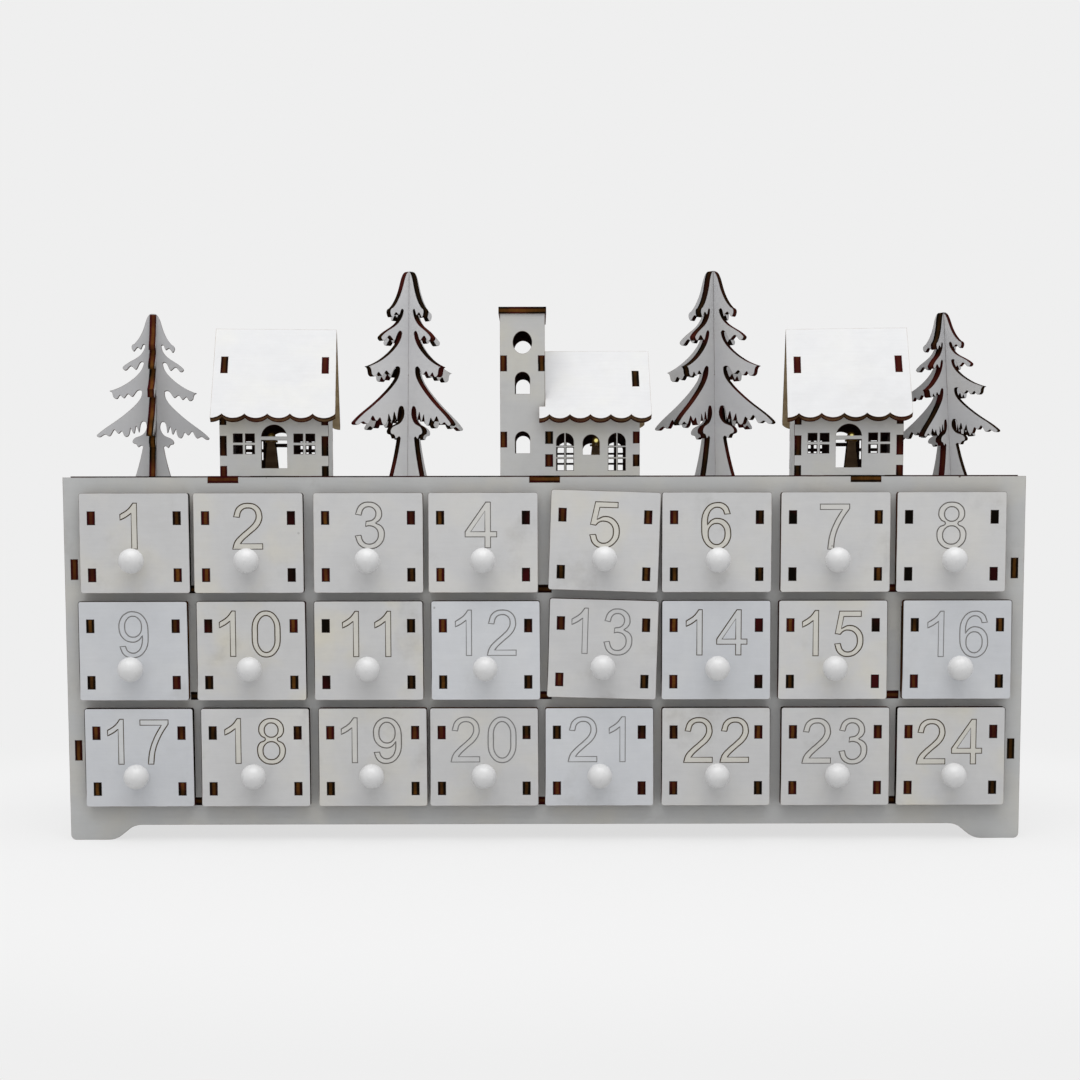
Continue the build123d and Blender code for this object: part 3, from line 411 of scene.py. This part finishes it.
def cut_boards(node, body, materials, inside=None, warmth=0.5, burn=0.0):
    """Stand for a node with its own boards, painted, raw and scorched."""
    boards = boards_in(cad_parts[node].data)
    for count, board in enumerate(boards):
        rng = random.Random(f"{node} {count}")
        tone = (warmth * rng.uniform(0.6, 1.4), rng.uniform(0.96, 1.02), burn)
        dress_board(board, f"{node} {count} place", tone, inside)
    piece = joined(f"{node}_board", boards, materials)
    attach(piece, body)
    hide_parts(node)
    return piece


box_paint = white_paint("box_paint", (0.525, 0.53, 0.525, 1.0), (0.55, 0.53, 0.47, 1.0), 1.0)
bare_board = raw_board("bare_board", (0.42, 0.27, 0.14, 1.0), (0.26, 0.14, 0.065, 1.0))
cut_edge = scorched_edge("cut_edge", (0.005, 0.004, 0.003, 1.0), (0.16, 0.066, 0.013, 1.0),
                         (0.040, 0.005, 0.006, 1.0))
box_finish = [box_paint, bare_board, cut_edge]
for node in ("front_frame", "back_panel", "lid_board", "left_side_panel", "right_side_panel"):
    burn = 0.35 if node == "lid_board" else 0.2
    cut_boards(node, "calendar_box", box_finish, box_middle, 0.45, burn)

# Inner boards: the bottom, two shelves and seven dividers halved into them are left unpainted, since only
# their scorched tab ends show between the drawers.
bare_finish = [bare_board, bare_board, cut_edge]
for node in ("bottom_board", "shelves", "column_dividers"):
    cut_boards(node, "calendar_box", bare_finish, burn=0.55)

# Drawers: five unpainted boards tabbed together behind a painted front, whose number is engraved by the laser
# as an outline, and a turned wooden knob with glossy white paint.
numeral_height = 18.1 * mm
numeral_advance = 0.836
numeral_width = 0.777
pair_width = 0.965
kern_of_ones = -0.10
numeral_drop = 4.2 * mm
engraving_width = 0.56 * mm
front_width = 43.6 * mm
front_height = 39.75 * mm
knob_ball = 10.2 * mm
knob_neck = 6.4 * mm
knob_standoff = 6.2 * mm
knob_waist = 0.94
waist_out = 0.9 * mm
neck_out = 1.9 * mm
ball_start = -38.0
ball_step = 18.0
ball_rings = 8
knob_sides = 24
knob_least_depth = 9 * mm
box_half = 10 * mm
size_slack = 1 * mm
# Numerals in shares of their height: a point with a third value is a sharp corner
six_shares = (
    ((0.681, 0.759, 1), (0.590, 0.940), (0.400, 1.004), (0.155, 0.890), (0.053, 0.468), (0.155, 0.090),
     (0.393, -0.017), (0.555, 0.035), (0.655, 0.150), (0.694, 0.327), (0.612, 0.565), (0.407, 0.658),
     (0.275, 0.622), (0.178, 0.513, 1), (0.200, 0.730), (0.275, 0.855), (0.393, 0.902), (0.512, 0.852),
     (0.558, 0.749, 1)),
    ((0.196, 0.326), (0.250, 0.488), (0.386, 0.548), (0.512, 0.492), (0.568, 0.322), (0.512, 0.147),
     (0.390, 0.083), (0.255, 0.147)),
)
numeral_shares = {
    "0": (((0.384, 1.004), (0.612, 0.890), (0.705, 0.494), (0.612, 0.098), (0.384, -0.016), (0.156, 0.098),
           (0.063, 0.494), (0.156, 0.890)),
          ((0.384, 0.903), (0.238, 0.812), (0.186, 0.494), (0.238, 0.176), (0.384, 0.085), (0.530, 0.176),
           (0.582, 0.494), (0.530, 0.812))),
    "1": (((0.520, 0.0, 1), (0.398, 0.0, 1), (0.398, 0.782, 1), (0.285, 0.700), (0.152, 0.634, 1),
           (0.152, 0.753, 1), (0.332, 0.870), (0.441, 1.004, 1), (0.520, 1.004, 1)),),
    "2": (((0.042, 0.0, 1), (0.703, 0.0, 1), (0.703, 0.118, 1), (0.212, 0.118, 1), (0.275, 0.195), (0.420, 0.325),
           (0.605, 0.490), (0.676, 0.610), (0.694, 0.725), (0.612, 0.925), (0.395, 1.004), (0.165, 0.925),
           (0.072, 0.710, 1), (0.195, 0.697, 1), (0.252, 0.850), (0.392, 0.903), (0.520, 0.855), (0.568, 0.727),
           (0.530, 0.600), (0.395, 0.455), (0.225, 0.310), (0.095, 0.165)),),
    "3": (((0.060, 0.264, 1), (0.183, 0.281, 1), (0.245, 0.130), (0.368, 0.083), (0.512, 0.145), (0.568, 0.294),
           (0.515, 0.430), (0.378, 0.487), (0.288, 0.473, 1), (0.302, 0.581, 1), (0.455, 0.622), (0.518, 0.745),
           (0.474, 0.858), (0.361, 0.903), (0.247, 0.858), (0.192, 0.718, 1), (0.069, 0.740, 1), (0.165, 0.935),
           (0.357, 1.004), (0.570, 0.925), (0.645, 0.742), (0.610, 0.630), (0.507, 0.545, 1), (0.650, 0.460),
           (0.700, 0.300), (0.610, 0.075), (0.370, -0.018), (0.155, 0.060)),),
    "4": (((0.452, 0.0, 1), (0.452, 0.239, 1), (0.017, 0.239, 1), (0.017, 0.352, 1), (0.474, 1.0, 1),
           (0.575, 1.0, 1), (0.575, 0.352, 1), (0.711, 0.352, 1), (0.711, 0.239, 1), (0.575, 0.239, 1),
           (0.575, 0.0, 1)),
          ((0.452, 0.352, 1), (0.452, 0.803, 1), (0.139, 0.352, 1))),
    "5": (((0.058, 0.262, 1), (0.187, 0.273, 1), (0.244, 0.131), (0.364, 0.083), (0.515, 0.155), (0.577, 0.335),
           (0.517, 0.505), (0.360, 0.569), (0.255, 0.544), (0.183, 0.475, 1), (0.068, 0.491, 1), (0.165, 0.988, 1),
           (0.660, 0.988, 1), (0.660, 0.870, 1), (0.262, 0.870, 1), (0.208, 0.602, 1), (0.396, 0.672),
           (0.615, 0.580), (0.706, 0.345), (0.620, 0.105), (0.364, -0.018), (0.150, 0.058)),),
    "6": six_shares,
    "7": (((0.066, 0.870, 1), (0.066, 0.988, 1), (0.712, 0.988, 1), (0.712, 0.892, 1), (0.545, 0.640),
           (0.405, 0.300), (0.366, 0.0, 1), (0.240, 0.0, 1), (0.280, 0.290), (0.395, 0.600), (0.555, 0.870, 1)),),
    "8": (((0.384, 1.004), (0.600, 0.925), (0.668, 0.738), (0.615, 0.612), (0.522, 0.542), (0.655, 0.440),
           (0.704, 0.283), (0.615, 0.070), (0.384, -0.017), (0.153, 0.070), (0.064, 0.286), (0.113, 0.450),
           (0.248, 0.542), (0.152, 0.617), (0.098, 0.742), (0.168, 0.925)),
          ((0.384, 0.905), (0.270, 0.858), (0.225, 0.745), (0.270, 0.630), (0.385, 0.585), (0.498, 0.630),
           (0.543, 0.735), (0.500, 0.857)),
          ((0.386, 0.486), (0.250, 0.430), (0.190, 0.284), (0.245, 0.138), (0.388, 0.083), (0.520, 0.138),
           (0.577, 0.281), (0.520, 0.430))),
    # a nine is a six turned half round
    "9": [[(0.750 - x, 0.987 - z, *corner) for x, z, *corner in contour] for contour in six_shares],
}
# How each front took its paint and its engraving, listed one by one: cream or bluish, and pale or burnt lines
creamy_fronts = {10: 0.9, 11: 0.9, 15: 0.6, 24: 0.7, 2: 0.6, 5: 0.6, 19: 0.5, 20: 0.5, 1: 0.4}
bluish_fronts = {9, 12, 14, 16, 17, 21}
faint_engravings = {9, 12, 13, 16, 20, 21}
grey_engravings = {3, 4, 7, 8, 19, 23}
charred_tabs = {2: (0.2, 0.9), 3: (0.1, 0.7), 4: (0.1, 1.0), 7: (1.0, 0.4), 8: (0.9, 0.9), 10: (0.8, 0.1),
                11: (0.9, 0.7), 14: (0.1, 0.9), 15: (0.1, 0.9), 18: (0.5, 0.4), 20: (0.6, 0.6)}
tab_burns = ((0.2, 0.6), (0.5, 0.2), (0.3, 0.4))
drawer_count = 24
columns = 8
usual_cream = 0.25
faint_burn = 0.15
grey_burn = 0.5
# Rim values along the fronts' tops: above 1 they are charred darker, painted shade for the shadowed gap above each
# front, much darker in the lower rows
top_row_scorch_and_shade = 1.3
low_row_scorch_and_shade = 4.0
# How far each number lies from its usual place, to the right and up
numeral_shifts = {1: (-1.2, 0.15), 3: (0.8, 0.4), 4: (-0.4, 0.4), 7: (-0.4, -0.4), 9: (0.4, 0.0),
                  10: (-1.2, 0.2), 11: (0.2, 0.0), 12: (-0.6, 0.4), 13: (-1.2, 0.4), 14: (-0.6, 0.4),
                  15: (-0.8, 0.0), 16: (-0.4, -0.4), 17: (-1.2, -0.2), 18: (-0.8, 0.0), 19: (-1.2, 0.2),
                  20: (0.0, 0.4), 21: (0.8, 0.4), 22: (0.4, 0.0), 23: (0.0, -0.4), 24: (-0.4, -0.8)}


def engraved_line(name):
    """The laser's fine line: brown where it burnt through the paint, grey where it only marked it."""
    material, shader, start = new_material(name)
    place = attribute(start, "sheet")
    grey_mark = (0.33, 0.33, 0.33, 1.0)
    burnt_mark = (0.10, 0.078, 0.050, 1.0)
    burn = attribute(start, "tone").split()[2]
    uneven = place.noise(400.0, 2.0)
    dark = burn * (0.7 + uneven * 0.6)
    feed(shader, Base_Color=dark.mix(grey_mark, burnt_mark))
    feed(shader, Roughness=0.8 + (uneven - 0.5) * 0.2)
    shader.inputs["Specular IOR Level"].default_value = 0.0
    return material


def numeral_cutter(number, middle, aside, top, turn):
    """The path of the laser round a number's outline, as a fine closed tube in the plane of the front."""
    curve = bpy.data.curves.new("numeral", "CURVE")
    curve.dimensions = "3D"
    curve.resolution_u = 5
    curve.bevel_depth = engraving_width / 2
    curve.bevel_resolution = 1
    digits = str(number)
    width = pair_width if len(digits) == 2 else 1.0
    advance = numeral_advance + (kern_of_ones if digits == "11" else 0.0)
    start = -(numeral_advance + advance * (len(digits) - 1)) / 2 + (numeral_advance - numeral_width) / 2
    for place, digit in enumerate(digits):
        for contour in numeral_shares[digit]:
            line = curve.splines.new("BEZIER")
            line.use_cyclic_u = True
            line.bezier_points.add(len(contour) - 1)
            for point, (x, z, *corner) in zip(line.bezier_points, contour):
                along = (start + place * advance + x) * width
                point.co = (along * numeral_height, 0, (z - 1) * numeral_height)
                point.handle_left_type = point.handle_right_type = "VECTOR" if corner else "AUTO"
    drawn = bpy.data.objects.new("numeral", curve)
    scene.collection.objects.link(drawn)
    bpy.context.view_layer.update()
    mesh = bpy.data.meshes.new_from_object(drawn.evaluated_get(bpy.context.evaluated_depsgraph_get()))
    bpy.data.objects.remove(drawn)
    on_front = Matrix.Rotation(turn, 4, "Y") @ Matrix.Translation((aside, 0, top))
    mesh.transform(Matrix.Translation(middle) @ on_front)
    return mesh


def engraved(board, cutter):
    """A board with the cutter's tube taken out of its face."""
    mesh = bpy.data.meshes.new("plain_front")
    board.to_mesh(mesh)
    plain = bpy.data.objects.new("plain_front", mesh)
    tool = bpy.data.objects.new("laser_path", cutter)
    for made in (plain, tool):
        scene.collection.objects.link(made)
    groove = plain.modifiers.new("groove", "BOOLEAN")
    groove.operation = "DIFFERENCE"
    groove.solver = "MANIFOLD"
    groove.object = tool
    bpy.context.view_layer.update()
    cut = bpy.data.meshes.new_from_object(plain.evaluated_get(bpy.context.evaluated_depsgraph_get()))
    for made in (plain, tool):
        bpy.data.objects.remove(made)
    board.clear()
    board.from_mesh(cut)
    bpy.data.meshes.remove(cut)


def turned_knob(name, middle, front_y):
    """A ball on a short neck, turned in one piece: a profile spun about the axis that points to the front."""
    knob = bmesh.new()
    ball = knob_ball / 2
    profile = [(knob_neck / 2, 0.0), (knob_neck / 2 * knob_waist, waist_out), (knob_neck / 2, neck_out)]
    for step in range(ball_rings):
        turn = radians(ball_start + step * ball_step)
        profile.append((ball * cos(turn), knob_standoff + ball * sin(turn)))
    profile.append((0.0, knob_standoff + ball))
    points = [knob.verts.new((middle.x + radius, front_y - out, middle.z)) for radius, out in profile]
    edges = [knob.edges.new(pair) for pair in zip(points, points[1:])]
    bmesh.ops.spin(knob, geom=points + edges, cent=(middle.x, front_y, middle.z), axis=(0, 1, 0), angle=2 * pi,
                   steps=knob_sides, use_merge=True)
    bmesh.ops.remove_doubles(knob, verts=knob.verts, dist=1e-6)
    bmesh.ops.recalc_face_normals(knob, faces=knob.faces)
    for face in knob.faces:
        face.smooth = True
    piece = joined(name, [knob], [knob_paint])
    rounding = piece.modifiers.new("rounding", "SUBSURF")
    rounding.levels = rounding.render_levels = 1
    return piece


def gloss_paint(name, colour):
    """Brushed gloss paint on turned wood: slightly uneven, with a few rubbed marks."""
    material, shader, start = new_material(name)
    place = start.node("ShaderNodeTexCoord", {}, {}, "Object")
    uneven = place.noise(500.0, 3.0)
    rubbed = place.noise(140.0, 2.0).ease(0.60, 0.80)
    rubbed_grey = (0.48, 0.47, 0.45, 1.0)
    relief = 0.15 * mm
    feed(shader, Base_Color=(rubbed * 0.2).mix(colour, rubbed_grey))
    feed(shader, Roughness=0.22 + uneven * 0.14)
    bump(shader, uneven, 0.2, relief)
    return material


drawer_paint = white_paint("drawer_paint", (0.62, 0.62, 0.62, 1.0), (0.65, 0.62, 0.53, 1.0), 1.0)
bluish_paint = white_paint("bluish_paint", (0.635, 0.65, 0.675, 1.0), (0.64, 0.64, 0.625, 1.0), 0.7)
knob_paint = gloss_paint("knob_paint", (0.73, 0.73, 0.73, 1.0))
engraving = engraved_line("engraving")
for number in range(1, drawer_count + 1):
    node = f"drawer_{number:02d}"
    rng = random.Random(node)
    boards = boards_in(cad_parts[node].data)
    sizes = [board_box(board)[1] - board_box(board)[0] for board in boards]
    wide = [place for place, size in enumerate(sizes) if size.x > front_width - size_slack]
    front = boards[min(wide, key=lambda place: sizes[place].y)]
    deep = [place for place, size in enumerate(sizes) if size.y > knob_least_depth]
    knob = boards[min(deep, key=lambda place: sizes[place].y)]
    box = [board for board in boards if board not in (front, knob)]
    low, high = board_box(front)
    middle = (low + high) / 2
    middle.y = low.y
    side_normal = main_normal(box[0])
    turn = atan2(-side_normal.z, side_normal.x)
    aside, raised = numeral_shifts.get(number, (0.0, 0.0))
    top = front_height / 2 - numeral_drop + raised * mm
    engraved(front, numeral_cutter(number, middle, aside * mm, top, turn))
    burn = faint_burn if number in faint_engravings else grey_burn if number in grey_engravings else 1.0
    warmth = creamy_fronts.get(number, usual_cream)
    tone = (warmth, rng.uniform(0.96, 1.02), burn)
    top_scorch_and_shade = top_row_scorch_and_shade if number <= columns else low_row_scorch_and_shade
    dress_board(front, f"{node} front", tone, middle + Vector((0, 1, 0)), low.y, top_scorch_and_shade)
    paint = bluish_paint if number in bluish_fronts else drawer_paint
    face = joined(f"{node}_front", [front], [paint, bare_board, cut_edge, engraving])
    for board in box:
        side = 0 if board_box(board)[0].x < middle.x - box_half else 1
        char = charred_tabs.get(number, tab_burns[number % 3])[side] + rng.uniform(0.0, 0.1)
        dress_board(board, f"{node} {side}", (rng.uniform(0.2, 0.8), rng.uniform(0.92, 1.04), char))
    case = joined(f"{node}_box", box, bare_finish)
    knob_low, knob_high = board_box(knob)
    ball = turned_knob(f"{node}_knob", (knob_low + knob_high) / 2, low.y)
    knob.free()
    for piece in (face, case, ball):
        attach(piece, node)
        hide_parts(node)

# Cottages: two long walls with door and windows, two gables and two scalloped roof boards, tabbed together
# and painted on the outside, the roofs in a paler white than the walls. The insides are bare board, painted
# far darker than the bare board elsewhere as painted shade inside the houses.
wall_paint = white_paint("wall_paint", (0.56, 0.56, 0.555, 1.0), (0.58, 0.56, 0.485, 1.0), 0.5)
roof_paint = white_paint("roof_paint", (0.745, 0.748, 0.755, 1.0), (0.74, 0.735, 0.70, 1.0), 0.25,
                         (0.40, 0.30, 0.19, 1.0))
pale_board = raw_board("pale_board", (0.50, 0.38, 0.22, 1.0), (0.36, 0.25, 0.13, 1.0))
roof_edge = scorched_edge("roof_edge", (0.028, 0.010, 0.006, 1.0), (0.34, 0.21, 0.10, 1.0),
                          (0.050, 0.010, 0.008, 1.0))
# House insides: bare board painted far darker than elsewhere, as painted shade in the rooms
shaded_inside_board = raw_board("shaded_inside_board", (0.12, 0.045, 0.030, 1.0), (0.07, 0.024, 0.018, 1.0))
wall_finish = [wall_paint, shaded_inside_board, cut_edge]
roof_finish = [roof_paint, pale_board, roof_edge]
for cottage in ("left_cottage", "right_cottage"):
    low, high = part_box(f"{cottage}_walls")
    room = (low + high) / 2
    for part in ("walls", "gables"):
        cut_boards(f"{cottage}_{part}", "calendar_box", wall_finish, room, burn=0.75)
    for part in ("front_roof", "rear_roof"):
        cut_boards(f"{cottage}_{part}", "calendar_box", roof_finish, room, burn=0.6)

# Church: an L-shaped front and rear wall, cross walls for the tower and the nave, a flat cap and two roof
# boards, cut and painted like the cottages.
below_cap = 10 * mm
above_floor = 15 * mm
low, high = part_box("tower_cap")
tower_room = Vector(((low.x + high.x) / 2, (low.y + high.y) / 2, low.z - below_cap))
low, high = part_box("nave_gables")
nave_room = (low + high) / 2
nave_room.z = low.z + above_floor
for node in ("church_front_wall", "church_rear_wall", "nave_gables"):
    cut_boards(node, "calendar_box", wall_finish, nave_room, burn=0.6)
for node in ("tower_side_walls", "tower_cap"):
    burn = 0.1 if node == "tower_cap" else 0.5
    cut_boards(node, "calendar_box", wall_finish, tower_room, burn=burn)
for node in ("nave_front_roof", "nave_rear_roof"):
    cut_boards(node, "calendar_box", roof_finish, nave_room, burn=0.6)

# Firs: two boards each, halved into one another and painted on both faces, with the drips of the boughs
# cut by the laser, so that every outline is a dark line.
fir_paint = white_paint("fir_paint", (0.52, 0.52, 0.53, 1.0), (0.55, 0.535, 0.50, 1.0), 0.3)
thick_paint = white_paint("thick_paint", (0.66, 0.66, 0.67, 1.0), (0.67, 0.66, 0.63, 1.0), 0.3)
for node in ("left_small_fir", "left_big_fir", "right_big_fir", "right_small_fir"):
    coat = thick_paint if node == "left_big_fir" else fir_paint
    burn = 0.15 if node == "left_small_fir" else 0.85
    cut_boards(node, "calendar_box", [coat, bare_board, cut_edge], warmth=0.3, burn=burn)

# Lighting: tapered slips of bare board stand in the lid and carry small yellow lamps, whose thin leads run
# under the lid to the battery box.
cut_boards("lamp_posts", "calendar_box", bare_finish, burn=0.3)


def moulded(name, colour, roughness, speckle):
    """Moulded plastic or lacquer: a fine even texture and slight variation."""
    material, shader, start = new_material(name)
    place = start.node("ShaderNodeTexCoord", {}, {}, "Object")
    fine = place.noise(1800.0, 2.0)
    level = 1.0 - speckle / 2 + place.noise(90.0, 2.0) * speckle
    tint = level.node("ShaderNodeVectorMath", {"operation": "SCALE"}, {0: colour[:3], "Scale": level})
    feed(shader, Base_Color=tint)
    feed(shader, Roughness=roughness + (fine - 0.5) * 0.15)
    relief = 0.08 * mm
    bump(shader, fine, 0.15, relief)
    return material


def glowing_resin(name, colour, glow, chips):
    """A lamp's tinted resin, lit from a small chip inside, which shows as a bright spot."""
    material, shader, start = new_material(name)
    place = start.node("ShaderNodeTexCoord", {}, {}, "Object")
    core = 0.0
    for chip, strength in chips:
        away = place.node("ShaderNodeVectorMath", {"operation": "DISTANCE"}, {0: place, 1: chip}, "Value")
        core = core + (1.0 - away.ease(chip_size, chip_halo)) * strength
    faint_glow = (0.02, 0.011, 0.002, 1.0)
    feed(shader, Base_Color=core.mix(colour, glow))
    feed(shader, Emission_Color=core.mix(faint_glow, glow))
    shader.inputs["Emission Strength"].default_value = 0.8
    shader.inputs["Roughness"].default_value = 0.18
    return material


def keep_solid(node, material):
    """A CAD solid whose shape is right gets its finish."""
    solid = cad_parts[node]
    solid.data.materials.clear()
    solid.data.materials.append(material)


lamp_boxes = [board_box(lamp) for lamp in boards_in(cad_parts["lamps"].data)]
lamp_strengths = (0.1, 1.0, 1.0)
chip_size = 0.4 * mm
chip_halo = 1.1 * mm
chip_depth = 0.9 * mm
chip_drop = 1.7 * mm
chips = [(((low.x + high.x) / 2, low.y + chip_depth, high.z - chip_drop), strength)
         for (low, high), strength in zip(lamp_boxes, lamp_strengths)]
keep_solid("lamps", glowing_resin("lamp_resin", (0.14, 0.07, 0.02, 1.0), (1.0, 0.86, 0.30, 1.0), chips))
keep_solid("lamp_leads", moulded("lead_insulation", (0.62, 0.61, 0.57, 1.0), 0.45, 0.1))

# Battery box: a black moulded tray fixed behind the back, with two cells, plated contacts, a painted cover
# that lifts out and a slide switch beside it.
keep_solid("battery_box", moulded("tray_plastic", (0.022, 0.022, 0.024, 1.0), 0.5, 0.3))
keep_solid("switch_body", moulded("switch_plastic", (0.025, 0.025, 0.027, 1.0), 0.45, 0.3))
keep_solid("switch_slider", moulded("slider_plastic", (0.06, 0.06, 0.062, 1.0), 0.4, 0.3))
keep_solid("battery_cells", moulded("cell_jacket", (0.10, 0.12, 0.15, 1.0), 0.35, 0.2))
steel = moulded("contact_steel", (0.62, 0.62, 0.60, 1.0), 0.3, 0.15)
steel.node_tree.nodes["Principled BSDF"].inputs["Metallic"].default_value = 1.0
keep_solid("battery_contacts", steel)
cut_boards("battery_cover", "battery_cover", box_finish, box_middle, 0.7)

# Floor: a plain pale surface that takes the box's shadow and fades into the background's colour away from
# it. It belongs to the stage and not to the object.
background = (0.863, 0.863, 0.863, 1.0)
floor_glow = (0.99, 0.99, 0.99, 1.0)
floor_grey = (0.60, 0.60, 0.60, 1.0)
floor_radius = 3.0
fade_start = 0.17
fade_end = 0.34
shadow_share = 0.30


def pale_floor(name):
    """Matte where the shadow falls, and the background's own colour further out."""
    material, shader, start = new_material(name)
    shader.inputs["Base Color"].default_value = floor_grey
    shader.inputs["Roughness"].default_value = 0.9
    x, y = start.node("ShaderNodeTexCoord", {}, {}, "Object").split()[:2]
    reach = (x * x * 0.55 + y * y) ** 0.5
    seen = start.node("ShaderNodeLightPath", {}, {}, "Is Camera Ray")
    nearby = 1.0 - reach.ease(fade_start, fade_end)
    glow = nearby.mix(background, floor_glow)
    plain = start.node("ShaderNodeEmission", {}, {"Color": glow})
    away = seen * (1.0 - nearby * shadow_share)
    mixed = start.node("ShaderNodeMixShader", {}, {0: away, 1: start, 2: plain})
    output = material.node_tree.nodes["Material Output"]
    material.node_tree.links.new(mixed.socket, output.inputs["Surface"])
    return material


ground = bmesh.new()
bmesh.ops.create_circle(ground, cap_ends=True, radius=floor_radius, segments=96)
floor = joined("floor", [ground], [pale_floor("pale_floor")])

# Light: one wide soft box overhead and to the front, and an even pale sky, which shows as the background
# where it is seen straight or in a reflection.
sky = bpy.data.worlds.new("sky")
scene.world = sky
sky.use_nodes = True
air = sky.node_tree.nodes["Background"]
air.inputs["Strength"].default_value = 1.0
sight = Shade(sky.node_tree, air.outputs[0])
path = sight.node("ShaderNodeLightPath", {}, {}, "Is Camera Ray").socket.node.outputs
straight = Shade(sky.node_tree, path["Is Camera Ray"]) + Shade(sky.node_tree, path["Is Glossy Ray"])
straight = (straight + Shade(sky.node_tree, path["Is Transmission Ray"])).ease(0.0, 1.0)
sky_light = (0.63, 0.63, 0.635, 1.0)
sky.node_tree.links.new(straight.mix(sky_light, background).socket, air.inputs["Color"])


def soft_box(name, place, aim, size, watts):
    """A square studio light."""
    lamp = bpy.data.lights.new(name, "AREA")
    lamp.shape = "SQUARE"
    lamp.size = size
    lamp.energy = watts
    holder = bpy.data.objects.new(name, lamp)
    holder.location = place
    holder.rotation_euler = (Vector(aim) - Vector(place)).to_track_quat("-Z", "Y").to_euler()
    scene.collection.objects.link(holder)


overhead_place = (0.0, -0.42, 1.40)
overhead_aim = (0, 0, 0.1)
overhead_size = 1.4
overhead_watts = 14.0
soft_box("overhead", overhead_place, overhead_aim, overhead_size, overhead_watts)

# Camera: a little below the lid's height and left of the middle, turned slightly down, as the photograph
# was taken.
lens_pixels = 1695.2
image_pixels = 1080
axis_row = 661.2
camera = bpy.data.cameras.new("camera")
camera.sensor_fit = "HORIZONTAL"
camera.sensor_width = 36.0
camera.lens = camera.sensor_width * lens_pixels / image_pixels
camera.shift_y = (axis_row - image_pixels / 2) / image_pixels
camera.clip_start = 0.01
eye_place = (-3.65 * mm, -718.04 * mm, 128.90 * mm)
eye_turn = (radians(90.0 - 4.738), radians(0.097), radians(-0.150))
eye = bpy.data.objects.new("camera", camera)
eye.location = eye_place
eye.rotation_euler = eye_turn
scene.collection.objects.link(eye)
scene.camera = eye
scene.view_settings.view_transform = "Standard"
